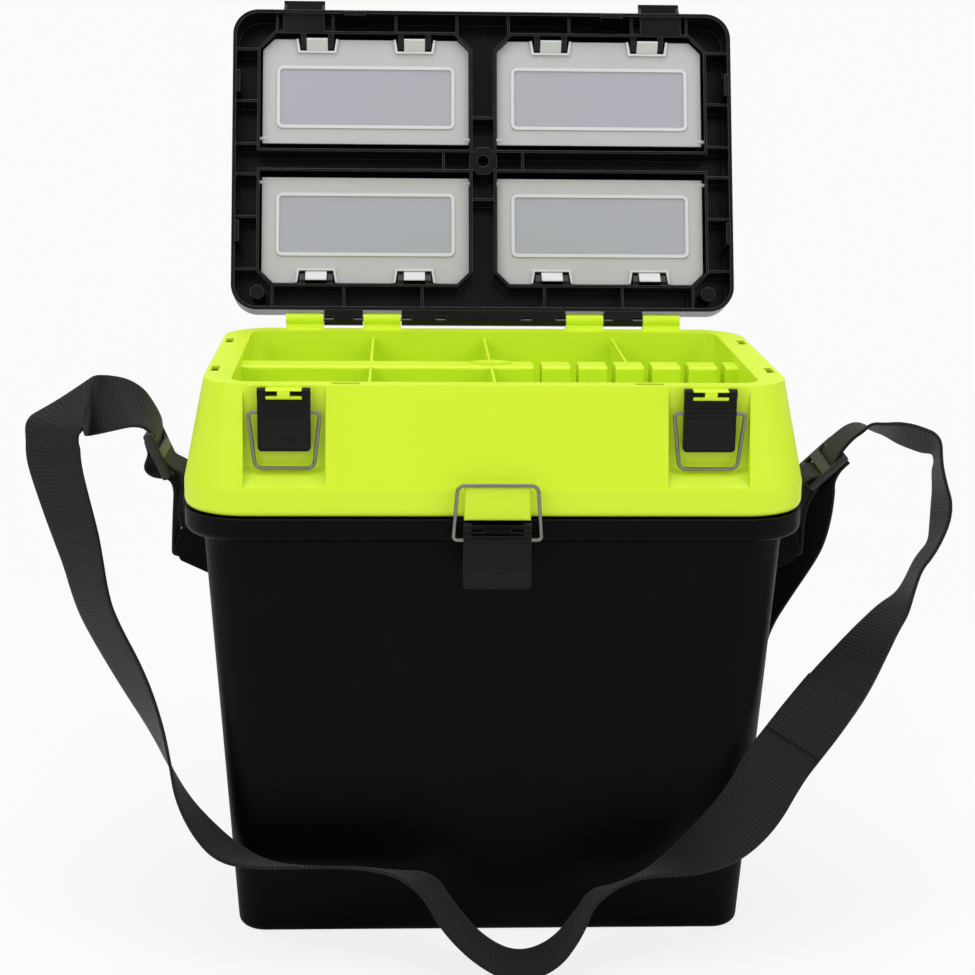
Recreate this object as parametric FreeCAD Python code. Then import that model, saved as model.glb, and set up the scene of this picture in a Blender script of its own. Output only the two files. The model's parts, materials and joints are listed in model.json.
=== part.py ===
import FreeCAD, Part

import math
import os

from FreeCAD import Placement, Rotation, Vector

# Fishing seat box: a bucket, a compartment tray hinged on it and a hollow seat lid hinged on the
# tray. Millimetres, +X to the right, -Y to the front, +Z up, origin at the centre of the base.

WALL = 2.5                # moulded wall of bucket, tray and lid
RIB = 1.8                 # thin inner ribs and walls
GAP = 0.3                 # parting gap between stacked mouldings
BORE_FIT = 0.05           # radial running clearance of pins and stubs

# Outline of the bucket's flange and of the tray's band above it
BODY_HALF_X = 190.0
BODY_HALF_Y = 120.0
BODY_RADIUS = 40.0

# Bucket: its outer wall leans out from the base to the neck below the flange
BUCKET_TOP = 282.8
FLANGE_HEIGHT = 14.8
FLANGE_LOW = BUCKET_TOP - FLANGE_HEIGHT
FLANGE_EDGE = 5.0
FLANGE_SIDE = 11.5        # how far the flange stands out over the neck at the sides
FLANGE_FRONT = 12.0
NECK_HALF_X = BODY_HALF_X - FLANGE_SIDE
NECK_HALF_Y = BODY_HALF_Y - FLANGE_FRONT
NECK_RADIUS = 26.0
LEAN_SIDE = 16.5          # how far the walls lean in down to the base
LEAN_FRONT = 21.0
BASE_HALF_X = NECK_HALF_X - LEAN_SIDE
BASE_HALF_Y = NECK_HALF_Y - LEAN_FRONT
BASE_RADIUS = 18.0
BASE_EDGE = 6.0
GUSSET_COUNT = 8
GUSSET_SPACING = 40.5
GUSSET_THICK = 2.0

# Tray: a straight band as wide as the flange, then a slope up to the rim
BAND_HEIGHT = 17.2
BAND_TOP = BUCKET_TOP + BAND_HEIGHT
BAND_EDGE = 6.0
SLOPE_HEIGHT = 62.0
TRAY_TOP = BAND_TOP + SLOPE_HEIGHT
SLOPE_SIDE = 12.5         # how far the slope comes in from the band up to the rim
SLOPE_FRONT = 13.0
SLOPE_BACK = 9.0
RIM_HALF_X = BODY_HALF_X - SLOPE_SIDE
RIM_FRONT = SLOPE_FRONT - BODY_HALF_Y
RIM_BACK = BODY_HALF_Y - SLOPE_BACK
RIM_RADIUS = 32.0
RIM_WIDTH_SIDE = 17.5     # rim between the outside and the cavity
RIM_WIDTH_FRONT = 12.0
RIM_WIDTH_BACK = 13.0
CAVITY_HALF_X = RIM_HALF_X - RIM_WIDTH_SIDE
CAVITY_FRONT = RIM_FRONT + RIM_WIDTH_FRONT
CAVITY_BACK = RIM_BACK - RIM_WIDTH_BACK
CAVITY_RADIUS = 12.0
CAVITY_DRAFT = 3.0        # the cavity is this much narrower at its floor
CAVITY_DEPTH = 56.0
TRAY_FLOOR = TRAY_TOP - CAVITY_DEPTH
DIVIDER_DROP = 5.0
DIVIDER_TOP = TRAY_TOP - DIVIDER_DROP
SKIRT_CLEARANCE = 1.5     # locating skirt to bucket wall
SKIRT_DEPTH = 6.0

# Tray dividers: a hollow land across the middle whose right half is a comb of line slots
LAND_FRONT = -14.0
LAND_BACK = 8.0
LAND_EDGE = 2.2
BACK_DIVIDERS = (-77.0, 0.0, 89.0)
FRONT_DIVIDERS = (-77.0, 0.0)
PAD_HALF = 13.3           # raised oval where the dividers meet
PAD_WIDTH = 14.0
PAD_RISE = 1.5
COMB_FIRST_SLOT = 30.1
COMB_PITCH = 23.7
COMB_SLOTS = 6
COMB_SLOT_WIDTH = 5.4

# Lid, measured along u (= X), v (from the hinge axis outwards) and w (towards its inner side)
HINGE_OUT = 6.0           # hinge axes stand this far behind the rim and the flange
HINGE_RISE = 5.3
HINGE_Y = RIM_BACK + HINGE_OUT
HINGE_Z = TRAY_TOP + HINGE_RISE
LID_LEAN = 19.3           # open lid leans back from upright, degrees
LID_INSET_SIDE = 0.9      # closed lid inside the rim's outline
LID_INSET_FRONT = 2.8
LID_HALF_WIDTH = RIM_HALF_X - LID_INSET_SIDE
LID_NEAR = 5.6
LID_FAR = HINGE_Y - RIM_FRONT - LID_INSET_FRONT
LID_RADIUS = 18.0
LID_EDGE = 6.0
LID_OUTER = -21.0
LID_RIM = HINGE_Z - TRAY_TOP - GAP
RIB_TOP = 2.0
CHANNEL_SIDE = 19.1       # rim channels between the lid's outside and the bays
CHANNEL_FAR = 16.2
BAY_HALF = LID_HALF_WIDTH - CHANNEL_SIDE
BAY_NEAR = 24.8
BAY_FAR = LID_FAR - CHANNEL_FAR
BAR_NEAR = 105.5          # crossbar channel between the lower and upper bays
BAR_FAR = 121.5
SPINE_HALF = 9.4          # centre bar between left and right bays

# Bay covers
COVER_DEPTH = 75.6
COVER_SHEET = 1.8
COVER_LEVEL = -3.9        # middle of the cover sheet, and its hinge axis, in w
COVER_SIDE_GAP = 0.7      # to the centre bar
COVER_OUTER_GAP = 1.6
COVER_WIDTH = BAY_HALF - SPINE_HALF - COVER_SIDE_GAP - COVER_OUTER_GAP
COVER_AXIS_INSET = 3.4    # hinge axis from the hinge edge
UPPER_COVER_EDGE = 126.4
LOWER_COVER_EDGE = 101.8
STUB_RADIUS = 1.4
STUB_REACH = 1.5          # into the bay wall
STUB_ROOT = 3.0           # how far a stub runs under its cover
COVER_CHAMFER = 8.0
NOTCH_WIDTH = 27.0
NOTCH_DEPTH = 8.6
NOTCH_OFFSET = 34.5
NOTCH_SLANT = 1.5
LIP = 1.4                 # raised lip round a notch
LIP_RISE = 1.9
THUMB_HALF = 7.4
THUMB_INSET = 0.8         # a thumb tab ends this far inside its cover's edge
THUMB_SHEET = 2.2
THUMB_BELOW_RIM = 1.5

# Ribs of the lid's rim channels, and the posts and locating tabs beside them
SIDE_RIBS = (35.2, 72.7, 103.2, 125.2, 156.2, 193.7)                            # along v
FAR_RIBS = (-145.8, -106.3, -61.7, -18.3, 18.3, 61.7, 106.3, 145.8)             # along u
NEAR_RIBS = (-148.0, -98.0, -43.0, 43.0, 98.0, 148.0)                           # along u
SPINE_RIBS = (86.0, 145.0)                                                      # along v
BAR_RIB = 28.0
RIB_DROP = 1.5            # cross ribs stop this far below the bay walls
CORNER_GAP = 1.1          # bay wall to a cover's cut corner
OCTAGON = 10.5
OCTAGON_BORE = 4.0
POST = 5.0
POST_NEAR = 18.5
POST_SIDE = 1.0
SIDE_TABS = ((53.0, 68.0), (160.5, 175.7))      # along v
FRONT_TABS = ((-98.0, -83.0), (84.0, 99.0))     # along u
TAB_INSET_SIDE = 2.6      # tabs inside the lid's outline
TAB_INSET_FRONT = 2.2
TAB_OUTER = LID_HALF_WIDTH - TAB_INSET_SIDE
TAB_FRONT = LID_FAR - TAB_INSET_FRONT
TAB_THICK = 3.0
TAB_REACH = 5.0
TAB_GAP = 0.9
LID_PLACE = Placement(Vector(0, HINGE_Y, HINGE_Z), Rotation(Vector(1, 0, 0), 90 - LID_LEAN))
COVER_CENTRE = SPINE_HALF + COVER_SIDE_GAP + COVER_WIDTH / 2
RING_INSET = 9.9
RING_HALF = COVER_WIDTH / 2 - RING_INSET
RING_NEAR = 11.0
RING_FAR = 56.4
RING_WIDTH = 2.4
RING_CORNER = 4.5
RING_RISE = 0.9
PRONG_HALF = 1.9          # catch prongs of the lid in the covers' notches
PRONG_TOP = 0.5
PRONG_LOW = -8.0
PRONG_FLAT = 3.0
PRONG_REACH = 9.6
PRONG_SLOPE = 3.5

# Hinge knuckles and pins
PIN_RADIUS = 1.5
LID_KNUCKLE_RADIUS = 4.5
TRAY_KNUCKLES = ((-138.0, -112.0), (-84.0, -58.0), (58.0, 84.0), (112.0, 138.0))
KNUCKLE_GAP = 0.5
KNUCKLE_WEB = 12.0        # how far below the rim a lid knuckle's web reaches
LID_BARRELS = ((-111.5, -84.5), (-57.5, 57.5), (84.5, 111.5))
PIN_WINDOWS = ((-111.5, -105.0), (-91.0, -84.5), (-57.5, -50.5), (-33.5, -26.0))
WINDOW_HEIGHT = 2.4
LID_PINS = ((-135.0, -27.0), (27.0, 135.0))
REAR_Y = BODY_HALF_Y + HINGE_OUT
REAR_Z = BUCKET_TOP
REAR_RADIUS = 5.0
REAR_CENTRES = (-100.0, 100.0)
REAR_TRAY_HALF = 11.5
REAR_BUCKET_WIDTH = 18.0
REAR_WEB = 8.0            # height of the web that carries a rear knuckle

# Latches
SIDE_LATCH_X = 127.0
POCKET_HALF = 24.5
POCKET_STEP = 0.2         # pocket floor in front of the rim
POCKET_FLOOR_Y = RIM_FRONT - POCKET_STEP
POCKET_RAMP_TOP = BAND_TOP + 12.0
POCKET_RAMP_LOW = BAND_TOP + 1.8
SIDE_AXIS_OUT = 4.8
SIDE_AXIS_DROP = 3.8
SIDE_AXIS_Y = POCKET_FLOOR_Y - SIDE_AXIS_OUT
SIDE_AXIS_Z = TRAY_TOP - SIDE_AXIS_DROP
SIDE_LEVER_HALF = 15.75
SIDE_PRONG = 4.75
SIDE_LEVER_LENGTH = 35.2  # from its axis to its tip
SIDE_LEVER_LOW = SIDE_AXIS_Z - SIDE_LEVER_LENGTH
SIDE_BAIL_DROP = 11.7
SIDE_BAIL_LENGTH = 34.0   # from the lever's barrel to the bail's bar
SIDE_BAR_Z = SIDE_AXIS_Z - SIDE_BAIL_DROP - SIDE_BAIL_LENGTH
SIDE_BAIL_HALF = 21.4
SIDE_BAR_HALF = 17.4
CENTRE_AXIS_OUT = 6.0
CENTRE_AXIS_DROP = 3.6
CENTRE_AXIS_Y = -BODY_HALF_Y - CENTRE_AXIS_OUT
CENTRE_AXIS_Z = BUCKET_TOP - CENTRE_AXIS_DROP
CENTRE_LEVER_HALF = 20.4
CENTRE_LEVER_LENGTH = 37.4
CENTRE_LEVER_LOW = CENTRE_AXIS_Z - CENTRE_LEVER_LENGTH
CENTRE_BAIL_DROP = 7.4
CENTRE_BAIL_HALF = 26.4
CENTRE_BAR_HALF = 23.9
TONGUE_HALF = 20.0
TONGUE_SEAT = 0.6         # above the parting line
TONGUE_HEIGHT = 21.0
TONGUE_LOW = BUCKET_TOP + TONGUE_SEAT
TONGUE_TOP = TONGUE_LOW + TONGUE_HEIGHT
TONGUE_EDGE = 1.2
TONGUE_OUT = 5.2
TONGUE_FACE = -BODY_HALF_Y - TONGUE_OUT
CENTRE_BAR_LAP = 1.0      # bar of the centre bail above the tongue
CENTRE_BAR_Z = TONGUE_TOP + CENTRE_BAR_LAP
LEVER_SHEET = 3.0
LEVER_STUB = 1.7
LEVER_STUB_LENGTH = 6.5
LEVER_TOP_RADIUS = 4.4    # plate starts this far below the lever's axis
LEVER_EYE = 3.2           # radius of the prongs' ends
LEVER_CORNER = 2.5
RIDGE_PITCH = 2.6
RIDGE_HEIGHT = 0.35
SIDE_RIDGES = 1.0         # share of the plate below the barrel that is ridged
CENTRE_RIDGES = 0.55
BARREL_RADIUS = 2.5
BARREL_BORE = 6.0         # how deep the bail's ends are bored in
BAIL_TIP = 1.0            # left free at the bottom of the bore
BOSS_REACH = 3.6
BOSS_ABOVE = 2.4
BOSS_BELOW = 3.9
BOSS_ROUND = 3.0
BOSS_EDGE = 1.0
SNAP = 0.15               # a stub snaps into its groove by this much
PRONG_GAP = 0.4
WIRE = 1.15               # radius of the bail wire
WIRE_BEND = 2.4
BAIL_CORNER = 4.5
STRIKE_HALF = 14.5
STRIKE_LAP = 3.5          # strike in front of the closed lever's axis
STRIKE_FAR = HINGE_Y - SIDE_AXIS_Y + STRIKE_LAP
STRIKE_TOP = -12.0        # in w
STRIKE_SHEET = 3.0
STRIKE_SIDE = 3.5         # pocket wall beside the strike
STRIKE_RIB = 12.0
STRIKE_GROOVE = 1.4       # groove for the bail's bar, in wire radii

# Webbing sling
WEB_HALF = 20.0
WEB_SIDE_GAP = 0.5        # webbing to the cheeks beside it
WEB_THICK = 2.0
LUG_OUT = 10.0            # lug bar outside the flange
LUG_DROP = 29.5           # lug bar below the flange
LUG_X = BODY_HALF_X + LUG_OUT
LUG_Z = FLANGE_LOW - LUG_DROP
LUG_BAR = 3.5
LUG_CHEEK = 3.0
LUG_TAIL = 7.5            # cheek below the bar
LUG_CLEAR = 10.0          # cheek below the flange
LUG_LOW = LUG_Z - LUG_TAIL
LUG_HIGH = FLANGE_LOW - LUG_CLEAR
LUG_ROOT = 12.0
PLY_GAP = 0.2             # between two plies that run together
SLIDE_LENGTH = 36.0
SLIDE_BAR = 4.0
SLIDE_THICK = 3.0
SLIDE_SIDE = 3.5
SLIDE_TURN_LEFT = 35.0    # degrees from upright, leaning outwards
SLIDE_TURN_RIGHT = -39.8  # leaning back towards the box
LEFT_SLIDE_OUT = 5.0      # lower end of each slide, out from and above the lug bar
LEFT_SLIDE_RISE = 42.5
RIGHT_SLIDE_OUT = 31.0
RIGHT_SLIDE_RISE = 38.5
SLIDE_LEFT = Vector(-LUG_X - LEFT_SLIDE_OUT, 0, LUG_Z + LEFT_SLIDE_RISE)
SLIDE_RIGHT = Vector(LUG_X + RIGHT_SLIDE_OUT, 0, LUG_Z + RIGHT_SLIDE_RISE)
LOOP_JOIN = 19.5          # above the lug bar, where a loop's two sides run straight up to

def box(x0, x1, y0, y1, z0, z1):
    """Box between two corners."""
    return Part.makeBox(x1 - x0, y1 - y0, z1 - z0, Vector(x0, y0, z0))


def rod(x0, x1, y, z, radius):
    """Cylinder along X."""
    return Part.makeCylinder(radius, x1 - x0, Vector(x0, y, z), Vector(1, 0, 0))


def outline(half_x, y_front, y_back, radius, z):
    """Rectangle with four rounded corners, as a wire at height z."""
    k = radius * (1 - math.sqrt(0.5))
    xr, yf, yb = half_x - radius, y_front + radius, y_back - radius
    corners = (
        (Vector(xr, y_front, z), Vector(half_x - k, y_front + k, z), Vector(half_x, yf, z)),
        (Vector(half_x, yb, z), Vector(half_x - k, y_back - k, z), Vector(xr, y_back, z)),
        (Vector(-xr, y_back, z), Vector(k - half_x, y_back - k, z), Vector(-half_x, yb, z)),
        (Vector(-half_x, yf, z), Vector(k - half_x, y_front + k, z), Vector(-xr, y_front, z)),
    )
    edges = []
    for index, (start, middle, end) in enumerate(corners):
        edges.append(Part.Arc(start, middle, end).toShape())
        edges.append(Part.LineSegment(end, corners[(index + 1) % 4][0]).toShape())
    return Part.Wire(edges)


def loft(*wires):
    """Straight-sided solid through outlines."""
    return Part.makeLoft(list(wires), True, True)


def prism(half_x, y_front, y_back, radius, z0, z1):
    """Upright block with rounded corners."""
    return Part.Face(outline(half_x, y_front, y_back, radius, z0)).extrude(Vector(0, 0, z1 - z0))


def edges_at(shape, z):
    """Edges of a shape that lie in the plane at height z."""
    return [e for e in shape.Edges if abs(e.BoundBox.ZMin - z) < 1e-4 and abs(e.BoundBox.ZMax - z) < 1e-4]


def side_plate(points, x0, x1):
    """Flat polygon of (y, z) points, extruded along X."""
    wire = Part.makePolygon([Vector(x0, y, z) for y, z in points + points[:1]])
    return Part.Face(wire).extrude(Vector(x1 - x0, 0, 0))


def between(low, high, share):
    """Value part of the way from one to another."""
    return low + (high - low) * share


def neck(z, inset):
    """Half sizes and radius of the bucket wall at height z, moved inwards."""
    share = z / FLANGE_LOW
    return (
        between(BASE_HALF_X, NECK_HALF_X, share) - inset,
        between(BASE_HALF_Y, NECK_HALF_Y, share) - inset,
        between(BASE_RADIUS, NECK_RADIUS, share) - inset,
    )


def neck_outline(z, inset):
    """Outline of the bucket wall at height z."""
    half_x, half_y, radius = neck(z, inset)
    return outline(half_x, -half_y, half_y, radius, z)


def make_lug(side):
    """Two cheeks and a bar that a webbing loop goes round, seated on one side wall of the bucket."""
    wall_x = neck(LUG_LOW, WALL / 2)[0]
    half = WEB_HALF + WEB_SIDE_GAP
    reach = LUG_X + LUG_BAR
    start = Vector(side * LUG_X, -half - LUG_CHEEK, LUG_Z)
    body = Part.makeCylinder(LUG_BAR, 2 * (half + LUG_CHEEK), start, Vector(0, 1, 0))
    profile = (
        (wall_x, LUG_LOW - LUG_ROOT), (reach - LUG_BAR, LUG_LOW), (reach, LUG_Z),
        (LUG_X, LUG_HIGH - 2 * LUG_BAR), (reach - LUG_ROOT, LUG_HIGH), (wall_x, LUG_HIGH),
    )
    for y in (-half - LUG_CHEEK, half):
        points = [Vector(side * x, y, z) for x, z in profile]
        body = body.fuse(Part.Face(Part.makePolygon(points + points[:1])).extrude(Vector(0, LUG_CHEEK, 0)))
    return body.cut(loft(neck_outline(0, 0), neck_outline(FLANGE_LOW, 0)))


def rear_knuckle(x0, x1, above):
    """Rear hinge knuckle with the web that carries it, below or above the parting line."""
    face_y = BODY_HALF_Y - WALL
    if above:
        web = box(x0, x1, face_y, REAR_Y, REAR_Z + GAP, REAR_Z + REAR_WEB)
    else:
        web = box(x0, x1, face_y, REAR_Y, REAR_Z - REAR_WEB, REAR_Z)
    return web.fuse(rod(x0, x1, REAR_Y, REAR_Z, REAR_RADIUS))


def make_bracket(axis_y, axis_z, centre_x, lever_half, wall_y):
    """Bracket between a lever's prongs, seated on a wall, with front-open grooves for the two stubs."""
    half = lever_half - SIDE_PRONG - PRONG_GAP
    front = axis_y - BOSS_REACH
    boss = box(centre_x - half, centre_x + half, front, wall_y, axis_z - BOSS_BELOW, axis_z + BOSS_ABOVE)
    for z, radius in ((axis_z - BOSS_BELOW, BOSS_ROUND), (axis_z + BOSS_ABOVE, BOSS_EDGE)):
        boss = boss.makeFillet(radius, [e for e in edges_at(boss, z) if e.BoundBox.YMax < front + GAP])
    depth = LEVER_STUB_LENGTH + PRONG_GAP
    throat = LEVER_STUB - SNAP
    for sign in (-1, 1):
        x0, x1 = sorted((centre_x + sign * half, centre_x + sign * (half - depth)))
        boss = boss.cut(rod(x0, x1, axis_y, axis_z, LEVER_STUB + BORE_FIT))
        boss = boss.cut(box(x0, x1, front, axis_y, axis_z - throat, axis_z + throat))
    return boss


def make_bucket():
    """Open bucket with a down-turned flange and rear knuckles."""
    outer = loft(neck_outline(0, 0), neck_outline(FLANGE_LOW, 0))
    outer = outer.makeFillet(BASE_EDGE, edges_at(outer, 0))
    neck_top = prism(NECK_HALF_X, -NECK_HALF_Y, NECK_HALF_Y, NECK_RADIUS, FLANGE_LOW, BUCKET_TOP)
    flange = prism(BODY_HALF_X, -BODY_HALF_Y, BODY_HALF_Y, BODY_RADIUS, FLANGE_LOW, BUCKET_TOP)
    flange = flange.makeFillet(FLANGE_EDGE, edges_at(flange, FLANGE_LOW))
    turn = FLANGE_LOW + FLANGE_EDGE
    inset = FLANGE_EDGE + WALL
    under = loft(
        outline(BODY_HALF_X - inset, inset - BODY_HALF_Y, BODY_HALF_Y - inset, BODY_RADIUS - inset, FLANGE_LOW),
        outline(BODY_HALF_X - WALL, WALL - BODY_HALF_Y, BODY_HALF_Y - WALL, BODY_RADIUS - WALL, turn),
    )
    under = under.fuse(prism(
        BODY_HALF_X - WALL, WALL - BODY_HALF_Y, BODY_HALF_Y - WALL, BODY_RADIUS - WALL, turn, BUCKET_TOP - WALL))
    under = under.cut(neck_top)
    body = outer.fuse([neck_top, flange.cut(under)])
    gussets = []
    for index in range(GUSSET_COUNT):
        x = (index - (GUSSET_COUNT - 1) / 2) * GUSSET_SPACING - GUSSET_THICK / 2
        for side in (-1, 1):
            y0, y1 = sorted((side * (NECK_HALF_Y - WALL / 2), side * (BODY_HALF_Y - WALL / 2)))
            gussets.append(box(x, x + GUSSET_THICK, y0, y1, turn, BUCKET_TOP - WALL / 2))
    body = body.fuse(gussets)
    inside = loft(neck_outline(WALL, WALL), neck_outline(FLANGE_LOW, WALL))
    mouth = prism(
        NECK_HALF_X - WALL, WALL - NECK_HALF_Y, NECK_HALF_Y - WALL, NECK_RADIUS - WALL, FLANGE_LOW, BUCKET_TOP)
    body = body.cut(inside.fuse(mouth))
    knuckles = []
    for centre in REAR_CENTRES:
        for side in (-1, 1):
            near = REAR_TRAY_HALF + KNUCKLE_GAP
            x0, x1 = sorted((centre + side * near, centre + side * (near + REAR_BUCKET_WIDTH)))
            knuckles.append(rear_knuckle(x0, x1, False))
    body = body.fuse(knuckles)
    reach = REAR_TRAY_HALF + KNUCKLE_GAP + REAR_BUCKET_WIDTH
    for centre in REAR_CENTRES:
        body = body.cut(rod(centre - reach, centre + reach, REAR_Y, REAR_Z, PIN_RADIUS + BORE_FIT))
    return body


def tray_outer(inset):
    """Outer form of the tray, moved inwards by a wall."""
    band = prism(
        BODY_HALF_X - inset, inset - BODY_HALF_Y, BODY_HALF_Y - inset, BODY_RADIUS - inset,
        BUCKET_TOP + GAP, BAND_TOP)
    top = TRAY_TOP - inset
    share = (top - BAND_TOP) / (TRAY_TOP - BAND_TOP)
    slope = loft(
        outline(BODY_HALF_X - inset, inset - BODY_HALF_Y, BODY_HALF_Y - inset, BODY_RADIUS - inset, BAND_TOP),
        outline(
            between(BODY_HALF_X, RIM_HALF_X, share) - inset,
            between(-BODY_HALF_Y, RIM_FRONT, share) + inset,
            between(BODY_HALF_Y, RIM_BACK, share) - inset,
            between(BODY_RADIUS, RIM_RADIUS, share) - inset,
            top),
    )
    if inset == 0:
        band = band.makeFillet(BAND_EDGE, edges_at(band, BUCKET_TOP + GAP))
    return band.fuse(slope)


def cavity(inset, z0, z1):
    """Compartment well of the tray; a negative inset gives the outside of its wall."""
    low = inset + CAVITY_DRAFT
    return loft(
        outline(CAVITY_HALF_X - low, CAVITY_FRONT + low, CAVITY_BACK - low, CAVITY_RADIUS - inset, z0),
        outline(CAVITY_HALF_X - inset, CAVITY_FRONT + inset, CAVITY_BACK - inset, CAVITY_RADIUS - inset, z1),
    )


def pocket(centre_x, margin):
    """Latch pocket in the front slope; a margin gives the moulding round it."""
    half = POCKET_HALF + margin
    front = -BODY_HALF_Y - 5
    points = [
        (front, POCKET_RAMP_LOW - margin),
        (-BODY_HALF_Y, POCKET_RAMP_LOW - margin),
        (POCKET_FLOOR_Y + margin, POCKET_RAMP_TOP - margin),
        (POCKET_FLOOR_Y + margin, TRAY_TOP + 1),
        (front, TRAY_TOP + 1),
    ]
    return side_plate(points, centre_x - half, centre_x + half)


def comb_slots():
    """Line slots through the right half of the land, as (low x, high x)."""
    centres = [COMB_FIRST_SLOT + index * COMB_PITCH for index in range(COMB_SLOTS)]
    return [(x - COMB_SLOT_WIDTH / 2, x + COMB_SLOT_WIDTH / 2) for x in centres]


def dividers():
    """Land across the tray with its comb of line slots, cross dividers and the oval pad."""
    z0 = TRAY_FLOOR - WALL / 2
    land = box(-CAVITY_HALF_X, CAVITY_HALF_X, LAND_FRONT, LAND_BACK, z0, DIVIDER_TOP)
    land = land.makeFillet(LAND_EDGE, [e for e in edges_at(land, DIVIDER_TOP) if e.BoundBox.YLength < LAND_EDGE])
    for x0, x1 in comb_slots():
        land = land.cut(box(x0, x1, LAND_FRONT - 1, LAND_BACK + 1, TRAY_FLOOR, TRAY_TOP))
    pieces = []
    for x in BACK_DIVIDERS:
        pieces.append(box(x - RIB / 2, x + RIB / 2, LAND_BACK - 2 * LAND_EDGE, CAVITY_BACK, z0, DIVIDER_TOP))
    for x in FRONT_DIVIDERS:
        pieces.append(box(x - RIB / 2, x + RIB / 2, CAVITY_FRONT, LAND_FRONT + 2 * LAND_EDGE, z0, DIVIDER_TOP))
    middle = (LAND_FRONT + LAND_BACK) / 2
    ends = [Vector(side * PAD_HALF, middle, DIVIDER_TOP - RIB / 2) for side in (-1, 1)]
    bulges = [Vector(0, middle + side * PAD_WIDTH / 2, ends[0].z) for side in (-1, 1)]
    oval = Part.Wire([Part.Arc(ends[0], bulges[0], ends[1]).toShape(), Part.Arc(ends[1], bulges[1], ends[0]).toShape()])
    pieces.append(Part.Face(oval).extrude(Vector(0, 0, RIB / 2 + PAD_RISE)))
    return land.fuse(pieces)


def land_hollows():
    """Spaces inside the land, open from below as its moulding core leaves them."""
    low = CAVITY_HALF_X - CAVITY_DRAFT
    stops = [-low] + [x for x in FRONT_DIVIDERS for x in (x, x)]
    for x0, x1 in comb_slots():
        stops += [x0, x1]
    stops.append(low)
    hollows = []
    for x0, x1 in zip(stops[::2], stops[1::2]):
        hollows.append(box(x0 + RIB, x1 - RIB, LAND_FRONT + RIB, LAND_BACK - RIB,
                           TRAY_FLOOR - WALL - 1, DIVIDER_TOP - LAND_EDGE))
    return hollows


def tab_slots():
    """Slots in the tray rim that the lid's tabs drop into."""
    z0, z1 = TRAY_TOP - TAB_REACH - TAB_GAP, TRAY_TOP + 1
    slots = []
    for near, far in SIDE_TABS:
        for side in (-1, 1):
            x0, x1 = sorted((side * (TAB_OUTER + TAB_GAP), side * (TAB_OUTER - TAB_THICK - TAB_GAP)))
            slots.append(box(x0, x1, HINGE_Y - far - TAB_GAP, HINGE_Y - near + TAB_GAP, z0, z1))
    for left, right in FRONT_TABS:
        slots.append(box(left - TAB_GAP, right + TAB_GAP, HINGE_Y - TAB_FRONT - TAB_GAP,
                         HINGE_Y - TAB_FRONT + TAB_THICK + TAB_GAP, z0, z1))
    return slots


def make_tray():
    """Compartment tray with its skirt, latch pockets and hinge knuckles."""
    void = tray_outer(WALL)
    shell_low = TRAY_FLOOR - WALL
    void = void.cut(cavity(-WALL, shell_low, TRAY_TOP))
    for side in (-1, 1):
        void = void.cut(pocket(side * SIDE_LATCH_X, WALL))
    body = tray_outer(0).cut([void, cavity(0, TRAY_FLOOR, TRAY_TOP)])
    seat = BUCKET_TOP + GAP
    skirt_x = NECK_HALF_X - WALL - SKIRT_CLEARANCE
    skirt_y = NECK_HALF_Y - WALL - SKIRT_CLEARANCE
    skirt_r = NECK_RADIUS - WALL - SKIRT_CLEARANCE
    edge = WALL / 2
    plate = prism(BODY_HALF_X - edge, edge - BODY_HALF_Y, BODY_HALF_Y - edge, BODY_RADIUS - edge,
                  seat + BAND_EDGE / 2, seat + BAND_EDGE)
    skirt = prism(skirt_x, -skirt_y, skirt_y, skirt_r, BUCKET_TOP - SKIRT_DEPTH, seat + BAND_EDGE)
    bore = prism(skirt_x - WALL, WALL - skirt_y, skirt_y - WALL, skirt_r - WALL,
                 BUCKET_TOP - SKIRT_DEPTH - 1, seat + BAND_EDGE + 1)
    body = body.fuse(plate.fuse(skirt).cut(bore))
    body = body.fuse(dividers().common(cavity(-WALL / 2, TRAY_FLOOR - WALL / 2, TRAY_TOP)))
    body = body.cut(land_hollows())
    for side in (-1, 1):
        body = body.cut(pocket(side * SIDE_LATCH_X, 0))
    additions = []
    half = LID_KNUCKLE_RADIUS / 2
    for x0, x1 in TRAY_KNUCKLES:
        web = side_plate([
            (RIM_BACK - WALL, TRAY_TOP - 2 * WALL), (RIM_BACK - WALL, TRAY_TOP), (HINGE_Y - 2 * half, TRAY_TOP),
            (HINGE_Y - half, HINGE_Z), (HINGE_Y + 2 * half, HINGE_Z - half), (HINGE_Y, TRAY_TOP - WALL),
            (RIM_BACK + WALL, TRAY_TOP - KNUCKLE_WEB)], x0, x1)
        additions.append(web.fuse(rod(x0, x1, HINGE_Y, HINGE_Z, LID_KNUCKLE_RADIUS)))
    for centre in REAR_CENTRES:
        additions.append(rear_knuckle(centre - REAR_TRAY_HALF, centre + REAR_TRAY_HALF, True))
    body = body.fuse(additions)
    bores = tab_slots()
    for x0, x1 in TRAY_KNUCKLES:
        bores.append(rod(x0 - 1, x1 + 1, HINGE_Y, HINGE_Z, PIN_RADIUS + BORE_FIT))
    reach = REAR_TRAY_HALF + 1
    for centre in REAR_CENTRES:
        bores.append(rod(centre - reach, centre + reach, REAR_Y, REAR_Z, PIN_RADIUS + BORE_FIT))
    return body.cut(bores)


def make_tongue():
    """Closing tongue on the tray's front band, which the centre latch's bail goes over."""
    tongue = box(-TONGUE_HALF, TONGUE_HALF, TONGUE_FACE, WALL / 2 - BODY_HALF_Y, TONGUE_LOW, TONGUE_TOP)
    rims = [e for e in tongue.Edges if e.BoundBox.YMax < TONGUE_FACE + TONGUE_EDGE]
    return tongue.makeFillet(TONGUE_EDGE, rims).cut(tray_outer(0))


def placed(shape):
    """Shape built in the lid's own axes, put at the open lid's place."""
    moved = shape.copy()
    moved.Placement = LID_PLACE.multiply(moved.Placement)
    return moved


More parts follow.
